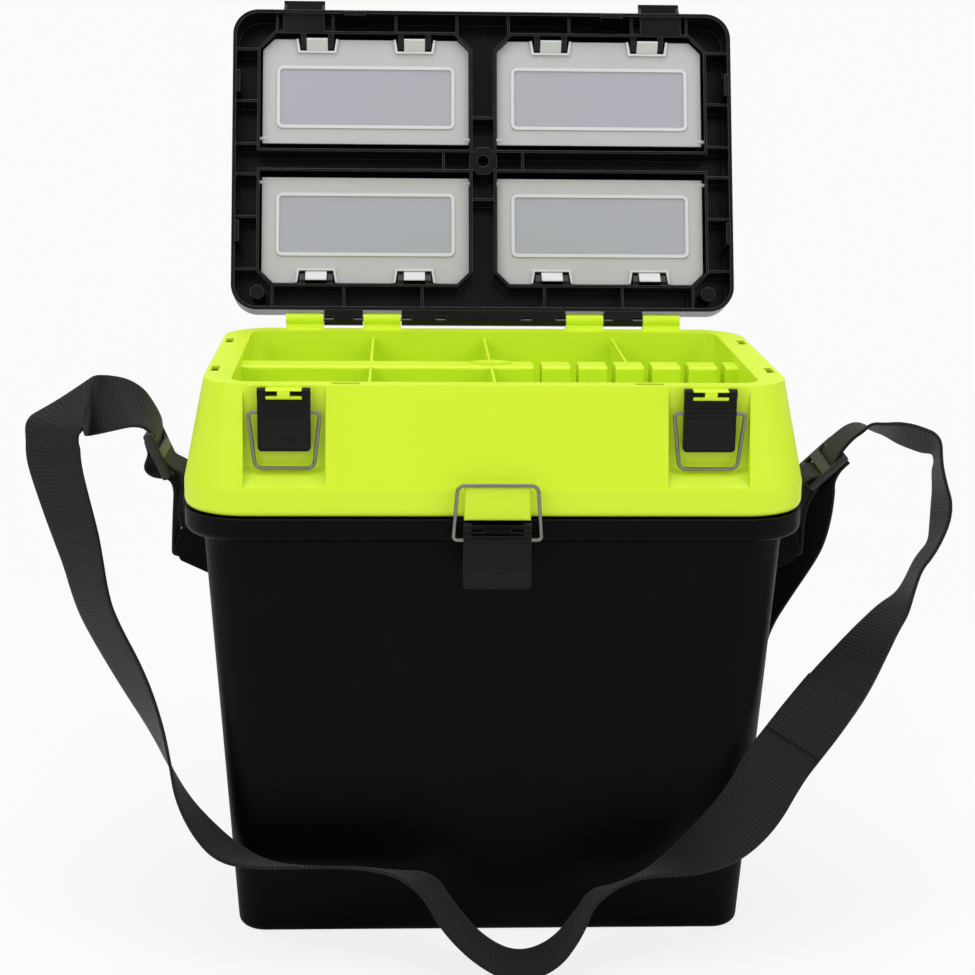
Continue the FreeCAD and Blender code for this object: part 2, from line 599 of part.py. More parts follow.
def bay_prism(side, upper, grow, low, top):
    """Block in the outline of a bay, whose two corners at the cover's free edge are cut off."""
    inner, outer = SPINE_HALF - grow, BAY_HALF + grow
    if upper:
        root, free = BAR_FAR - grow, BAY_FAR + grow
        slack = BAY_FAR - UPPER_COVER_EDGE - COVER_DEPTH
    else:
        root, free = BAR_NEAR + grow, BAY_NEAR - grow
        slack = LOWER_COVER_EDGE - COVER_DEPTH - BAY_NEAR
    edge_slack = BAY_HALF - COVER_CENTRE - COVER_WIDTH / 2
    cut = COVER_CHAMFER + slack + edge_slack - CORNER_GAP * math.sqrt(2) + grow * (2 - math.sqrt(2))
    step = cut if upper else -cut
    profile = ((inner, root), (outer, root), (outer, free - step), (outer - cut, free), (inner + cut, free),
               (inner, free - step))
    points = [Vector(side * u, v, low) for u, v in profile]
    return Part.Face(Part.makePolygon(points + points[:1])).extrude(Vector(0, 0, top - low))


def lid_ribs():
    """Inner walls of the four bays and the thin ribs round and between them."""
    low, top = LID_OUTER + WALL / 2, RIB_TOP
    rib_top = top - RIB_DROP
    far, near = LID_FAR - WALL / 2, LID_NEAR + WALL / 2
    side = LID_HALF_WIDTH - WALL / 2
    half = RIB / 2
    ribs = []
    for sign in (-1, 1):
        for upper in (True, False):
            ribs.append(bay_prism(sign, upper, RIB, low, top).cut(bay_prism(sign, upper, 0, low - 1, top + 1)))
        for v in SIDE_RIBS:
            x0, x1 = sorted((sign * (BAY_HALF + half), sign * side))
            ribs.append(box(x0, x1, v - half, v + half, low, rib_top))
        ribs.append(box(sign * BAR_RIB - half, sign * BAR_RIB + half, BAR_NEAR + half, BAR_FAR - half, low, rib_top))
    for u in FAR_RIBS:
        ribs.append(box(u - half, u + half, BAY_FAR + half, far, low, rib_top))
    for u in NEAR_RIBS:
        ribs.append(box(u - half, u + half, near, BAY_NEAR - half, low, rib_top))
    for v in SPINE_RIBS:
        ribs.append(box(half - SPINE_HALF, SPINE_HALF - half, v - half, v + half, low, rib_top))
    middle = (BAR_NEAR + BAR_FAR) / 2
    eighth = math.pi / 4
    corners = [(eighth * (i + 0.5), low) for i in range(8)]
    points = [Vector(OCTAGON * math.cos(a), middle + OCTAGON * math.sin(a), z) for a, z in corners]
    boss = Part.Face(Part.makePolygon(points + points[:1])).extrude(Vector(0, 0, top - low))
    ribs.append(boss.cut(Part.makeCylinder(OCTAGON_BORE, top - low, Vector(0, middle, low + WALL))))
    return ribs


def catch_prongs(side, upper):
    """Pairs of prongs of the lid that stand in a cover's notches beside its thumb tabs."""
    wall_v = BAY_FAR if upper else BAY_NEAR
    out = 1 if upper else -1
    profile = ((RIB / 2, PRONG_LOW), (RIB / 2, PRONG_TOP), (-PRONG_FLAT, PRONG_TOP),
               (-PRONG_REACH, PRONG_TOP - PRONG_SLOPE), (-PRONG_REACH, PRONG_LOW))
    points = [(wall_v + out * v, w) for v, w in profile]
    apart = (THUMB_HALF + NOTCH_WIDTH / 2 - NOTCH_SLANT) / 2
    prongs = []
    for offset in (-NOTCH_OFFSET, NOTCH_OFFSET):
        for beside in (-apart, apart):
            u = side * COVER_CENTRE + offset + beside
            prongs.append(side_plate(points, u - PRONG_HALF, u + PRONG_HALF))
    return prongs


def strike(x):
    """Strike on the lid's front edge, its root block and the wall of the pocket behind it."""
    half = STRIKE_HALF + STRIKE_SIDE
    low = STRIKE_TOP + STRIKE_SHEET
    pieces = [
        box(x - half - WALL, x + half + WALL, BAY_FAR - RIB / 2, LID_FAR - WALL / 2, LID_OUTER + WALL / 2, low),
        box(x - STRIKE_HALF, x + STRIKE_HALF, LID_FAR - WALL, STRIKE_FAR, STRIKE_TOP, low),
        box(x - STRIKE_HALF, x + STRIKE_HALF, BAY_FAR + RIB / 2, LID_FAR - WALL / 2, STRIKE_TOP, RIB_TOP),
    ]
    tip = STRIKE_FAR - RIB / 2
    root = LID_FAR - WALL / 2
    for end in (-1, 1):
        rib_x = x + end * (STRIKE_HALF - RIB / 2)
        points = [(root, STRIKE_TOP + RIB / 2), (tip, STRIKE_TOP + RIB / 2), (root, STRIKE_TOP + STRIKE_RIB)]
        pieces.append(side_plate(points, rib_x - RIB / 2, rib_x + RIB / 2))
    return pieces


def pin_windows():
    """Short windows in the lid's barrels that show the pins."""
    windows = []
    for left, right in PIN_WINDOWS:
        for x0, x1 in ((left, right), (-right, -left)):
            windows.append(box(x0, x1, -WINDOW_HEIGHT / 2, WINDOW_HEIGHT / 2, 0, LID_KNUCKLE_RADIUS + 1))
    return windows


def make_lid():
    """Hollow seat lid in its own axes: shell, bays, ribs, barrels, tabs and strikes."""
    body = prism(LID_HALF_WIDTH, LID_NEAR, LID_FAR, LID_RADIUS, LID_OUTER, LID_RIM)
    body = body.makeFillet(LID_EDGE, edges_at(body, LID_OUTER))
    body = body.cut(prism(LID_HALF_WIDTH - WALL, LID_NEAR + WALL, LID_FAR - WALL, LID_RADIUS - WALL,
                          LID_OUTER + WALL, LID_RIM))
    additions = lid_ribs()
    tab_low, tab_top = LID_OUTER + WALL / 2, LID_RIM + TAB_REACH
    for side in (-1, 1):
        additions += catch_prongs(side, True) + catch_prongs(side, False)
        additions += strike(side * SIDE_LATCH_X)
        for near, far in SIDE_TABS:
            x0, x1 = sorted((side * TAB_OUTER, side * (TAB_OUTER - TAB_THICK)))
            additions.append(box(x0, x1, near, far, tab_low, tab_top))
        post = Vector(side * (BAY_HALF + POST_SIDE), POST_NEAR, LID_OUTER + WALL / 2)
        additions.append(Part.makeCylinder(POST, LID_RIM - WALL - post.z, post))
    for left, right in FRONT_TABS:
        additions.append(box(left, right, TAB_FRONT - TAB_THICK, TAB_FRONT, tab_low, tab_top))
    for x0, x1 in LID_BARRELS:
        arm = box(x0, x1, 0, LID_NEAR + WALL / 2, -LID_KNUCKLE_RADIUS, LID_KNUCKLE_RADIUS)
        additions.append(arm.fuse(rod(x0, x1, 0, 0, LID_KNUCKLE_RADIUS)))
    body = body.fuse(additions)
    cuts = pin_windows()
    for x0, x1 in LID_BARRELS:
        cuts.append(rod(x0 - 1, x1 + 1, 0, 0, PIN_RADIUS + BORE_FIT))
    for side in (-1, 1):
        x = side * SIDE_LATCH_X
        half = STRIKE_HALF + STRIKE_SIDE
        cuts.append(box(x - half, x + half, BAY_FAR + RIB, STRIKE_FAR + 1, LID_OUTER - 1, STRIKE_TOP))
        cuts.append(rod(x - half, x + half, HINGE_Y - SIDE_AXIS_Y, STRIKE_TOP - WIRE / 2, STRIKE_GROOVE * WIRE))
        for axis_v in (UPPER_COVER_EDGE + COVER_AXIS_INSET, LOWER_COVER_EDGE - COVER_AXIS_INSET):
            x0, x1 = sorted((side * (SPINE_HALF - RIB - 1), side * (BAY_HALF + RIB + 1)))
            cuts.append(rod(x0, x1, axis_v, COVER_LEVEL, STUB_RADIUS + BORE_FIT))
    return body.cut(cuts)


def make_cover(side, upper):
    """Bay cover in the lid's axes, with stubs, lipped notches, thumb tabs and a raised frame."""
    centre = side * COVER_CENTRE
    half = COVER_WIDTH / 2
    edge = UPPER_COVER_EDGE if upper else LOWER_COVER_EDGE
    out = 1 if upper else -1
    low = COVER_LEVEL - COVER_SHEET / 2
    face = COVER_LEVEL + COVER_SHEET / 2

    def at(du, dv, w):
        """Point at du from the cover's centre line and dv from its hinge edge."""
        return Vector(centre + du, edge + out * dv, w)

    def plate(profile, w0, w1):
        """Flat piece of the cover between two levels."""
        points = [at(du, dv, w0) for du, dv in profile]
        return Part.Face(Part.makePolygon(points + points[:1])).extrude(Vector(0, 0, w1 - w0))

    def notch(offset, grow):
        """Outline of a notch, grown by a lip."""
        top, root = NOTCH_WIDTH / 2 + grow, NOTCH_WIDTH / 2 - NOTCH_SLANT + grow
        depth = COVER_DEPTH - NOTCH_DEPTH - grow
        reach = COVER_DEPTH if grow else COVER_DEPTH + 1
        return ((offset - top, reach), (offset - root, depth), (offset + root, depth), (offset + top, reach))

    cut = COVER_CHAMFER
    body = plate(((-half, 0), (half, 0), (half, COVER_DEPTH - cut), (half - cut, COVER_DEPTH),
                  (cut - half, COVER_DEPTH), (-half, COVER_DEPTH - cut)), low, face)
    additions = []
    for offset in (-NOTCH_OFFSET, NOTCH_OFFSET):
        additions.append(plate(notch(offset, LIP), low, face + LIP_RISE))
    body = body.fuse(additions)
    for offset in (-NOTCH_OFFSET, NOTCH_OFFSET):
        body = body.cut(plate(notch(offset, 0), low - 1, LID_RIM))
    axis_v = edge + out * COVER_AXIS_INSET
    inner, outer = side * (SPINE_HALF - STUB_REACH), side * (BAY_HALF + STUB_REACH)
    x0, x1 = sorted((inner, outer))
    additions = []
    for start, end in ((x0, centre - half + STUB_ROOT), (centre + half - STUB_ROOT, x1)):
        additions.append(rod(start, end, axis_v, COVER_LEVEL, STUB_RADIUS))
    v_near, v_far = sorted((edge + out * RING_NEAR, edge + out * RING_FAR))
    w0, w1 = COVER_LEVEL, face + RING_RISE
    ring = prism(RING_HALF, v_near, v_far, RING_CORNER, w0, w1).cut(prism(
        RING_HALF - RING_WIDTH, v_near + RING_WIDTH, v_far - RING_WIDTH, RING_CORNER - RING_WIDTH, w0, w1))
    ring.translate(Vector(centre, 0, 0))
    additions.append(ring)
    root, tip = COVER_DEPTH - NOTCH_DEPTH - RIB / 2, COVER_DEPTH - THUMB_INSET
    top = LID_RIM - THUMB_BELOW_RIM
    profile = [(root, low), (root, face), (tip - THUMB_SHEET / 2, top), (tip, top), (root + THUMB_SHEET, low)]
    for offset in (-NOTCH_OFFSET, NOTCH_OFFSET):
        points = [(edge + out * dv, w) for dv, w in profile]
        additions.append(side_plate(points, centre + offset - THUMB_HALF, centre + offset + THUMB_HALF))
    return body.fuse(additions)


def make_lever(centre_x, axis_y, axis_z, half, low_z, bail_drop, ridge_share):
    """Over-centre lever: plate, two prongs with inward stubs and a barrel for the bail."""
    back, front = axis_y + LEVER_SHEET / 2, axis_y - LEVER_SHEET / 2
    inner = half - SIDE_PRONG
    plate = box(centre_x - half, centre_x + half, front, back, low_z, axis_z - LEVER_TOP_RADIUS)
    corners = [e for e in plate.Edges if e.BoundBox.YLength > 1 and e.BoundBox.ZMax < low_z + 1]
    plate = plate.makeFillet(LEVER_CORNER, corners)
    barrel_z = axis_z - bail_drop
    additions = [rod(centre_x - half, centre_x + half, axis_y, barrel_z, BARREL_RADIUS)]
    for side in (-1, 1):
        x0, x1 = sorted((centre_x + side * inner, centre_x + side * half))
        additions.append(box(x0, x1, front, back, axis_z - LEVER_TOP_RADIUS - 1, axis_z))
        additions.append(rod(x0, x1, axis_y, axis_z, LEVER_EYE))
        x0, x1 = sorted((centre_x + side * (inner + 1), centre_x + side * (inner - LEVER_STUB_LENGTH)))
        additions.append(rod(x0, x1, axis_y, axis_z, LEVER_STUB))
    ridge_z = low_z + LEVER_CORNER
    ridge_end = low_z + ridge_share * (barrel_z - BARREL_RADIUS - low_z)
    while ridge_z + RIDGE_PITCH < ridge_end:
        additions.append(box(centre_x - half + LEVER_CORNER, centre_x + half - LEVER_CORNER,
                             front - RIDGE_HEIGHT, axis_y, ridge_z, ridge_z + RIDGE_PITCH / 2))
        ridge_z += RIDGE_PITCH
    body = plate.fuse(additions)
    for side in (-1, 1):
        x0, x1 = sorted((centre_x + side * (half + 1), centre_x + side * (half - BARREL_BORE)))
        body = body.cut(rod(x0, x1, axis_y, barrel_z, WIRE + BORE_FIT))
    return body


def rounded_wire(points, radii):
    """Wire of straight runs joined by tangent arcs of the given radii."""
    edges = []
    start = points[0]
    for index in range(1, len(points) - 1):
        corner, before, after = points[index], points[index - 1], points[index + 1]
        into = (corner - before).normalize()
        out = (after - corner).normalize()
        turn = into.getAngle(out)
        radius = radii[index - 1]
        reach = radius * math.tan(turn / 2)
        first, last = corner - into * reach, corner + out * reach
        bisector = (out - into).normalize()
        middle = corner + bisector * (radius / math.cos(turn / 2) - radius)
        edges.append(Part.LineSegment(start, first).toShape())
        edges.append(Part.Arc(first, middle, last).toShape())
        start = last
    edges.append(Part.LineSegment(start, points[-1]).toShape())
    return Part.Wire(edges)


def make_bail(centre_x, y_pivot, z_pivot, y_bar, z_bar, half, bar_half, lever_half):
    """Wire bail: two ends in the lever's barrel, two legs and the bar."""
    tip = lever_half - BARREL_BORE + BAIL_TIP
    points = [
        Vector(centre_x - tip, y_pivot, z_pivot), Vector(centre_x - half, y_pivot, z_pivot),
        Vector(centre_x - bar_half, y_bar, z_bar), Vector(centre_x + bar_half, y_bar, z_bar),
        Vector(centre_x + half, y_pivot, z_pivot), Vector(centre_x + tip, y_pivot, z_pivot),
    ]
    path = rounded_wire(points, (WIRE_BEND, BAIL_CORNER, BAIL_CORNER, WIRE_BEND))
    profile = Part.Wire(Part.Circle(points[0], Vector(1, 0, 0), WIRE).toShape())
    return path.makePipeShell([profile], True, False, 2)


def ribbon(points, radii):
    """Webbing along runs and arcs in the plane Y = 0, as a solid as wide as the webbing."""
    half = WEB_THICK / 2
    sides = []
    for sign in (1, -1):
        edges = []
        start = None
        for index in range(1, len(points) - 1):
            corner, before, after = points[index], points[index - 1], points[index + 1]
            into = (corner - before).normalize()
            out = (after - corner).normalize()
            normal_in = Vector(-into.z, 0, into.x) * (sign * half)
            normal_out = Vector(-out.z, 0, out.x) * (sign * half)
            if start is None:
                start = before + normal_in
            turn = into.getAngle(out)
            radius = radii[index - 1]
            reach = radius * math.tan(turn / 2)
            first, last = corner - into * reach, corner + out * reach
            bisector = (out - into).normalize()
            centre = corner + bisector * (radius / math.cos(turn / 2))
            offset = half if bisector.dot(normal_in) < 0 else -half
            middle = centre - bisector * (radius + offset)
            if (first + normal_in - start).Length > 1e-6:
                edges.append(Part.LineSegment(start, first + normal_in).toShape())
            edges.append(Part.Arc(first + normal_in, middle, last + normal_out).toShape())
            start = last + normal_out
            end = after + normal_out
        edges.append(Part.LineSegment(start, end).toShape())
        sides.append((edges, end))
    (left, left_end), (right, right_end) = sides
    left_start, right_start = left[0].Vertexes[0].Point, right[0].Vertexes[0].Point
    caps = [Part.LineSegment(left_end, right_end).toShape(), Part.LineSegment(right_start, left_start).toShape()]
    wire = Part.Wire(Part.__sortEdges__(left + right + caps))
    face = Part.Face(wire)
    face.translate(Vector(0, -WEB_HALF, 0))
    return face.extrude(Vector(0, 2 * WEB_HALF, 0))


def slide_point(base, turn, side, along, out):
    """Point of a strap slide: so far along it from its lower end and so far out of its plane."""
    angle = math.radians(turn)
    d = Vector(side * math.sin(angle), 0, math.cos(angle))
    n = Vector(side * math.cos(angle), 0, -math.sin(angle))
    return base + d * along + n * out


def make_slide(base, turn, side):
    """Three-bar slide that the webbing is threaded through."""
    half = WEB_HALF + 0.6 + SLIDE_SIDE
    angle = math.radians(turn)
    n = Vector(side * math.cos(angle), 0, -math.sin(angle))

    def slab(s0, s1, y_half, thick):
        """Flat block of the slide between two distances along it."""
        a = slide_point(base, turn, side, s0, -thick / 2)
        b = slide_point(base, turn, side, s1, -thick / 2)
        points = [Vector(p.x, y, p.z) for p, y in ((a, -y_half), (a, y_half), (b, y_half), (b, -y_half))]
        return Part.Face(Part.makePolygon(points + points[:1])).extrude(n * thick)

    body = slab(0, SLIDE_LENGTH, half, SLIDE_THICK)
    corners = [e for e in body.Edges if abs(e.Length - SLIDE_THICK) < 1e-4]
    body = body.makeFillet(3.0, corners)
    middle = SLIDE_LENGTH / 2
    for s0, s1 in ((SLIDE_BAR, middle - SLIDE_BAR / 2), (middle + SLIDE_BAR / 2, SLIDE_LENGTH - SLIDE_BAR)):
        body = body.cut(slab(s0, s1, half - SLIDE_SIDE, SLIDE_THICK + 2))
    return body


def left_anchor():
    """Left webbing loop: two plies threaded through the slide together and round the lug."""
    def at(along, out):
        """Point of the left slide."""
        return slide_point(SLIDE_LEFT, SLIDE_TURN_LEFT, -1, along, out)

    ply = WEB_THICK + PLY_GAP
    loop = LUG_BAR + 0.5 + WEB_THICK / 2
    behind = -(SLIDE_THICK / 2 + WEB_THICK / 2 + 0.5)
    over = SLIDE_THICK / 2 + WEB_THICK / 2 + PLY_GAP + 0.3 + ply
    upper_in, upper_out = SLIDE_LENGTH / 2 + 3.8, SLIDE_LENGTH - SLIDE_BAR
    lower_in, lower_out = SLIDE_LENGTH / 2 - 3.8, SLIDE_BAR
    x_out, x_in = -(LUG_X + loop), -(LUG_X - loop)
    points = [
        at(SLIDE_LENGTH + 3, behind), at(upper_out, behind), at(upper_in, over), at(lower_in, over),
        at(lower_out, behind), at(-6, behind), Vector(x_out, 0, LUG_Z + LOOP_JOIN),
        Vector(x_out, 0, LUG_Z - loop),
        Vector(x_in, 0, LUG_Z - loop), Vector(x_in, 0, LUG_Z + LOOP_JOIN + 4.0), at(-9, behind - ply - 1.0),
        at(lower_out + 0.5, behind - ply), at(lower_in + 0.8, over - ply), at(upper_in - 0.8, over - ply),
        at(upper_out - 0.5, behind - ply), at(SLIDE_LENGTH + 9, behind - ply),
    ]
    radii = [2.0, 3.4, 3.4, 2.0, 8.0, 20.0, loop, loop, 12.0, 8.0, 4.2, 1.2, 1.2, 4.2]
    return ribbon(points, radii)


def right_anchor():
    """Right webbing loop: in through the upper slot, round the lug and out of the lower slot."""
    def at(along, out):
        """Point of the right slide."""
        return slide_point(SLIDE_RIGHT, SLIDE_TURN_RIGHT, 1, along, out)

    loop = LUG_BAR + 0.5 + WEB_THICK / 2
    middle = SLIDE_LENGTH / 2
    upper, lower = middle + 8.0, middle - 8.0
    x_out, x_in = LUG_X + loop, LUG_X - loop
    points = [
        at(upper, 8), at(upper, -4), at(middle + 4, -13), Vector(x_in, 0, LUG_Z + LOOP_JOIN + 4.0),
        Vector(x_in, 0, LUG_Z - loop), Vector(x_out, 0, LUG_Z - loop), Vector(x_out, 0, LUG_Z + LOOP_JOIN - 4.0),
        at(lower, -5), at(lower, 6),
    ]
    radii = [5.0, 8.0, 20.0, loop, loop, 20.0, 12.0]
    return ribbon(points, radii)


# Stations of the sling: middle of the webbing, then the direction of its width
SLING = (
    ((-231, 0, 321), (1, 19, 6)), ((-240, 2, 326), (3, 13, 14)), ((-252, 4, 327), (5, 4, 19)),
    ((-264, 5, 328), (11, 1, 16)), ((-273, 4, 331), (16, 0, 12)), ((-276, 0, 334), (16, 0, 12)),
    ((-275, -4, 331), (16, 0, 12)), ((-274, -7, 323), (17, -1, 11)), ((-278, -9, 309), (18, -4, 8)),
    ((-280, -11, 295), (18, -7, 7)), ((-279, -14, 276), (18, -9, 7)), ((-268, -26, 240), (15, -14, 8)),
    ((-252, -41, 200), (13, -16, 8)), ((-229, -56, 162), (11, -16, 8)), ((-213, -66, 132), (6, -18, 8)),
    ((-204, -74, 109), (2, -18, 8)), ((-196, -83, 91), (-2, -18, 7)), ((-183, -95, 76), (-4, -18, 4)),
    ((-166, -108, 64), (-5, -18, 3)), ((-145, -113, 58), (-3, -18, 6)), ((-118, -114, 57), (1, -18, 8)),
    ((-88, -114, 57), (1, -18, 8)), ((-60, -117, 54), (0, -18, 7)), ((-40, -127, 51), (-3, -19, 1)),
    ((-29, -140, 36), (-4, -18, 1)), ((-10, -148, 17), (-3, -19, 1)), ((13, -150, 5), (-2, -20, 0)),
    ((37, -148, 12), (0, -19, 0)), ((53, -140, 30), (0, -18, 1)), ((61, -130, 42), (-1, -18, 3)),
    ((75, -123, 46), (-2, -18, 7)), ((91, -120, 52), (-3, -18, 7)), ((107, -120, 58), (-1, -18, 3)),
    ((124, -121, 66), (4, -17, -3)), ((143, -121, 78), (9, -13, -8)), ((161, -118, 96), (14, -7, -9)),
    ((177, -108, 121), (16, -5, -9)), ((190, -100, 134), (16, -6, -9)), ((203, -92, 147), (15, -7, -8)), ((228, -76, 170), (13, -12, -4)),
    ((247, -62, 192), (10, -16, 0)), ((263, -50, 211), (4, -18, 4)), ((276, -42, 230), (-1, -19, 7)),
    ((287, -36, 250), (-1, -19, 7)), ((292, -31, 272), (1, -19, 6)), ((291, -26, 291), (-1, -20, 5)),
    ((284, -20, 306), (-2, -19, 7)), ((269, -13, 313), (-3, -18, 8)), ((250, -7, 315), (-4, -19, 6)),
    ((236, -2, 311), (-2, -19, 2)),
)
# Free tail from the right slide down beside the bucket
TAIL = (
    ((233, 0, 296), (0, 20, 0)), ((241, 0, 296), (0, 20, 0)), ((245, 0, 287), (0, 20, 0)),
    ((241, 0, 272), (0, 20, 0)), ((234, 1, 254), (0, 20, 0)), ((226, 2, 234), (1, 20, 0)),
    ((217, 3, 213), (2, 20, 0)), ((207, 5, 195), (3, 20, 1)), ((197, 8, 179), (4, 19, 2)),
    ((189, 12, 163), (4, 19, 3)), ((184, 16, 148), (4, 19, 4)),
    ((181, 21, 132), (3, 19, 5)), ((179, 27, 115), (2, 19, 6)), ((178, 33, 98), (1, 19, 6)),
    ((178, 38, 82), (0, 19, 6)),
)
# Sewn overlap: stations of the sling that the second ply lies on
OVERLAP_STATIONS = slice(37, 40)
OVERLAP_GAP = 0.4


def frames(stations, start=None, start_along=None, end=None, end_along=None):
    """Middle, width direction and normal of the webbing at each station and threaded end."""
    points = [Vector(*p) for p, _ in stations]
    widths = [Vector(*w).normalize() for _, w in stations]
    if start is not None:
        points, widths = [start] + points, [Vector(0, 1, 0)] + widths
    if end is not None:
        points, widths = points + [end], widths + [Vector(0, -1, 0)]
    result = []
    for index, (point, across) in enumerate(zip(points, widths)):
        before = points[max(index - 1, 0)]
        after = points[min(index + 1, len(points) - 1)]
        along = (after - before).normalize()
        if index == 0 and start_along is not None:
            along = start_along
        if index == len(points) - 1 and end_along is not None:
            along = end_along
        result.append((point, across, along.cross(across).normalize()))
    return result


def strip(stations, lift=0.0):
    """Webbing of flat facets through the frames, lifted off its middle by a whole ply or not."""
    sections = []
    for point, across, normal in stations:
        centre = point + normal * lift
        a, t = across * WEB_HALF, normal * (WEB_THICK / 2)
        sections.append([centre + a + t, centre - a + t, centre - a - t, centre + a - t])
    faces = [Part.Face(Part.makePolygon(s + s[:1])) for s in (sections[0], sections[-1])]
    for near, far in zip(sections, sections[1:]):
        for k in range(4):
            m = (k + 1) % 4
            if k == 2:
                halves = ((near[k], near[m], far[k]), (near[m], far[m], far[k]))
            else:
                halves = ((near[k], near[m], far[m]), (near[k], far[m], far[k]))
            for corners in halves:
                faces.append(Part.Face(Part.makePolygon(list(corners) + [corners[0]])))
    shell = Part.makeShell(faces)
    shell.sewShape()
    solid = Part.makeSolid(shell)
    if solid.Volume < 0:
        solid.reverse()
    length = sum((q[0] - p[0]).Length for p, q in zip(stations, stations[1:]))
    print("webbing runs", round(length), "mm, volume over section times length",
          round(solid.Volume / (length * 2 * WEB_HALF * WEB_THICK), 3))
    return solid


def slide_direction(turn, side):
    """Unit vector along a slide, upwards."""
    angle = math.radians(turn)
    return Vector(side * math.sin(angle), 0, math.cos(angle))


def save(name, shape):
    """Write one sub-part and print its measure."""
    if len(shape.Solids) == 1:
        shape = shape.Solids[0]
    box_ = shape.BoundBox
    print(name, len(shape.Solids), "solid", round(shape.Volume), "valid", shape.isValid(),
          [round(v, 1) for v in (box_.XMin, box_.YMin, box_.ZMin, box_.XMax, box_.YMax, box_.ZMax)])
    shape.exportStep(os.path.join("parts", name + ".step"))


def main():
    """Build every sub-part."""
    os.makedirs("parts", exist_ok=True)
    save("bucket", make_bucket())
    save("tray", make_tray())
    save("seat_lid", placed(make_lid()))
    for side, side_name in ((-1, "left"), (1, "right")):
        for upper, row in ((True, "upper"), (False, "lower")):
            save("bay_cover_%s_%s" % (row, side_name), placed(make_cover(side, upper)))
    for (x0, x1), side_name in zip(LID_PINS, ("left", "right")):
        save("lid_hinge_pin_" + side_name, rod(x0, x1, HINGE_Y, HINGE_Z, PIN_RADIUS))
    reach = REAR_TRAY_HALF + KNUCKLE_GAP + REAR_BUCKET_WIDTH
    for centre, side_name in zip(REAR_CENTRES, ("left", "right")):
        save("tray_hinge_pin_" + side_name, rod(centre - reach, centre + reach, REAR_Y, REAR_Z, PIN_RADIUS))
    save("closing_tongue", make_tongue())
    for side, side_name in ((-1, "left"), (1, "right")):
        save("strap_lug_" + side_name, make_lug(side))
        x = side * SIDE_LATCH_X
        save("latch_bracket_" + side_name, make_bracket(SIDE_AXIS_Y, SIDE_AXIS_Z, x, SIDE_LEVER_HALF, POCKET_FLOOR_Y))
        save("latch_lever_" + side_name,
             make_lever(x, SIDE_AXIS_Y, SIDE_AXIS_Z, SIDE_LEVER_HALF, SIDE_LEVER_LOW, SIDE_BAIL_DROP, SIDE_RIDGES))
        save("latch_bail_" + side_name,
             make_bail(x, SIDE_AXIS_Y, SIDE_AXIS_Z - SIDE_BAIL_DROP, SIDE_AXIS_Y, SIDE_BAR_Z,
                       SIDE_BAIL_HALF, SIDE_BAR_HALF, SIDE_LEVER_HALF))
    save("latch_bracket_center", make_bracket(CENTRE_AXIS_Y, CENTRE_AXIS_Z, 0, CENTRE_LEVER_HALF, -BODY_HALF_Y))
    save("latch_lever_center",
         make_lever(0, CENTRE_AXIS_Y, CENTRE_AXIS_Z, CENTRE_LEVER_HALF, CENTRE_LEVER_LOW, CENTRE_BAIL_DROP,
                    CENTRE_RIDGES))
    save("latch_bail_center",
         make_bail(0, CENTRE_AXIS_Y, CENTRE_AXIS_Z - CENTRE_BAIL_DROP, TONGUE_FACE - GAP - WIRE, CENTRE_BAR_Z,
                   CENTRE_BAIL_HALF, CENTRE_BAR_HALF, CENTRE_LEVER_HALF))
    save("strap_slide_left", make_slide(SLIDE_LEFT, SLIDE_TURN_LEFT, -1))
    save("strap_slide_right", make_slide(SLIDE_RIGHT, SLIDE_TURN_RIGHT, 1))
    save("strap_anchor_left", left_anchor())
    save("strap_anchor_right", right_anchor())
    behind = -(SLIDE_THICK / 2 + WEB_THICK / 2 + 0.5)
    start = slide_point(SLIDE_LEFT, SLIDE_TURN_LEFT, -1, SLIDE_LENGTH + 3, behind)
    upper = SLIDE_LENGTH / 2 + 8.0
    end = slide_point(SLIDE_RIGHT, SLIDE_TURN_RIGHT, 1, upper, 8)
    into = (slide_point(SLIDE_RIGHT, SLIDE_TURN_RIGHT, 1, upper, 0) - end).normalize()
    sling = frames(SLING, start, slide_direction(SLIDE_TURN_LEFT, -1), end, into)
    save("strap_sling", strip(sling))
    save("strap_overlap", strip(sling[OVERLAP_STATIONS], -(WEB_THICK + OVERLAP_GAP)))
    lower = SLIDE_LENGTH / 2 - 8.0
    tail_start = slide_point(SLIDE_RIGHT, SLIDE_TURN_RIGHT, 1, lower, 6)
    tail_along = (tail_start - slide_point(SLIDE_RIGHT, SLIDE_TURN_RIGHT, 1, lower, 0)).normalize()
    save("strap_tail", strip(frames(TAIL, tail_start, tail_along)))


main()
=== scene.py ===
"""Looks of a fishing seat box: bucket, compartment tray, seat lid, covers, latches and strap.

Every rigid CAD node stays where it is and gets its finish here. The strap and its two slides are
modelled here, along stations of their own, in place of their solids. Metres, +X to the right, -Y to
the front, +Z up.
"""

from __future__ import annotations

import json
import logging
import math
from dataclasses import dataclass, field
from enum import Enum
from typing import Sequence

import bmesh
import bpy
from mathutils import Matrix, Vector

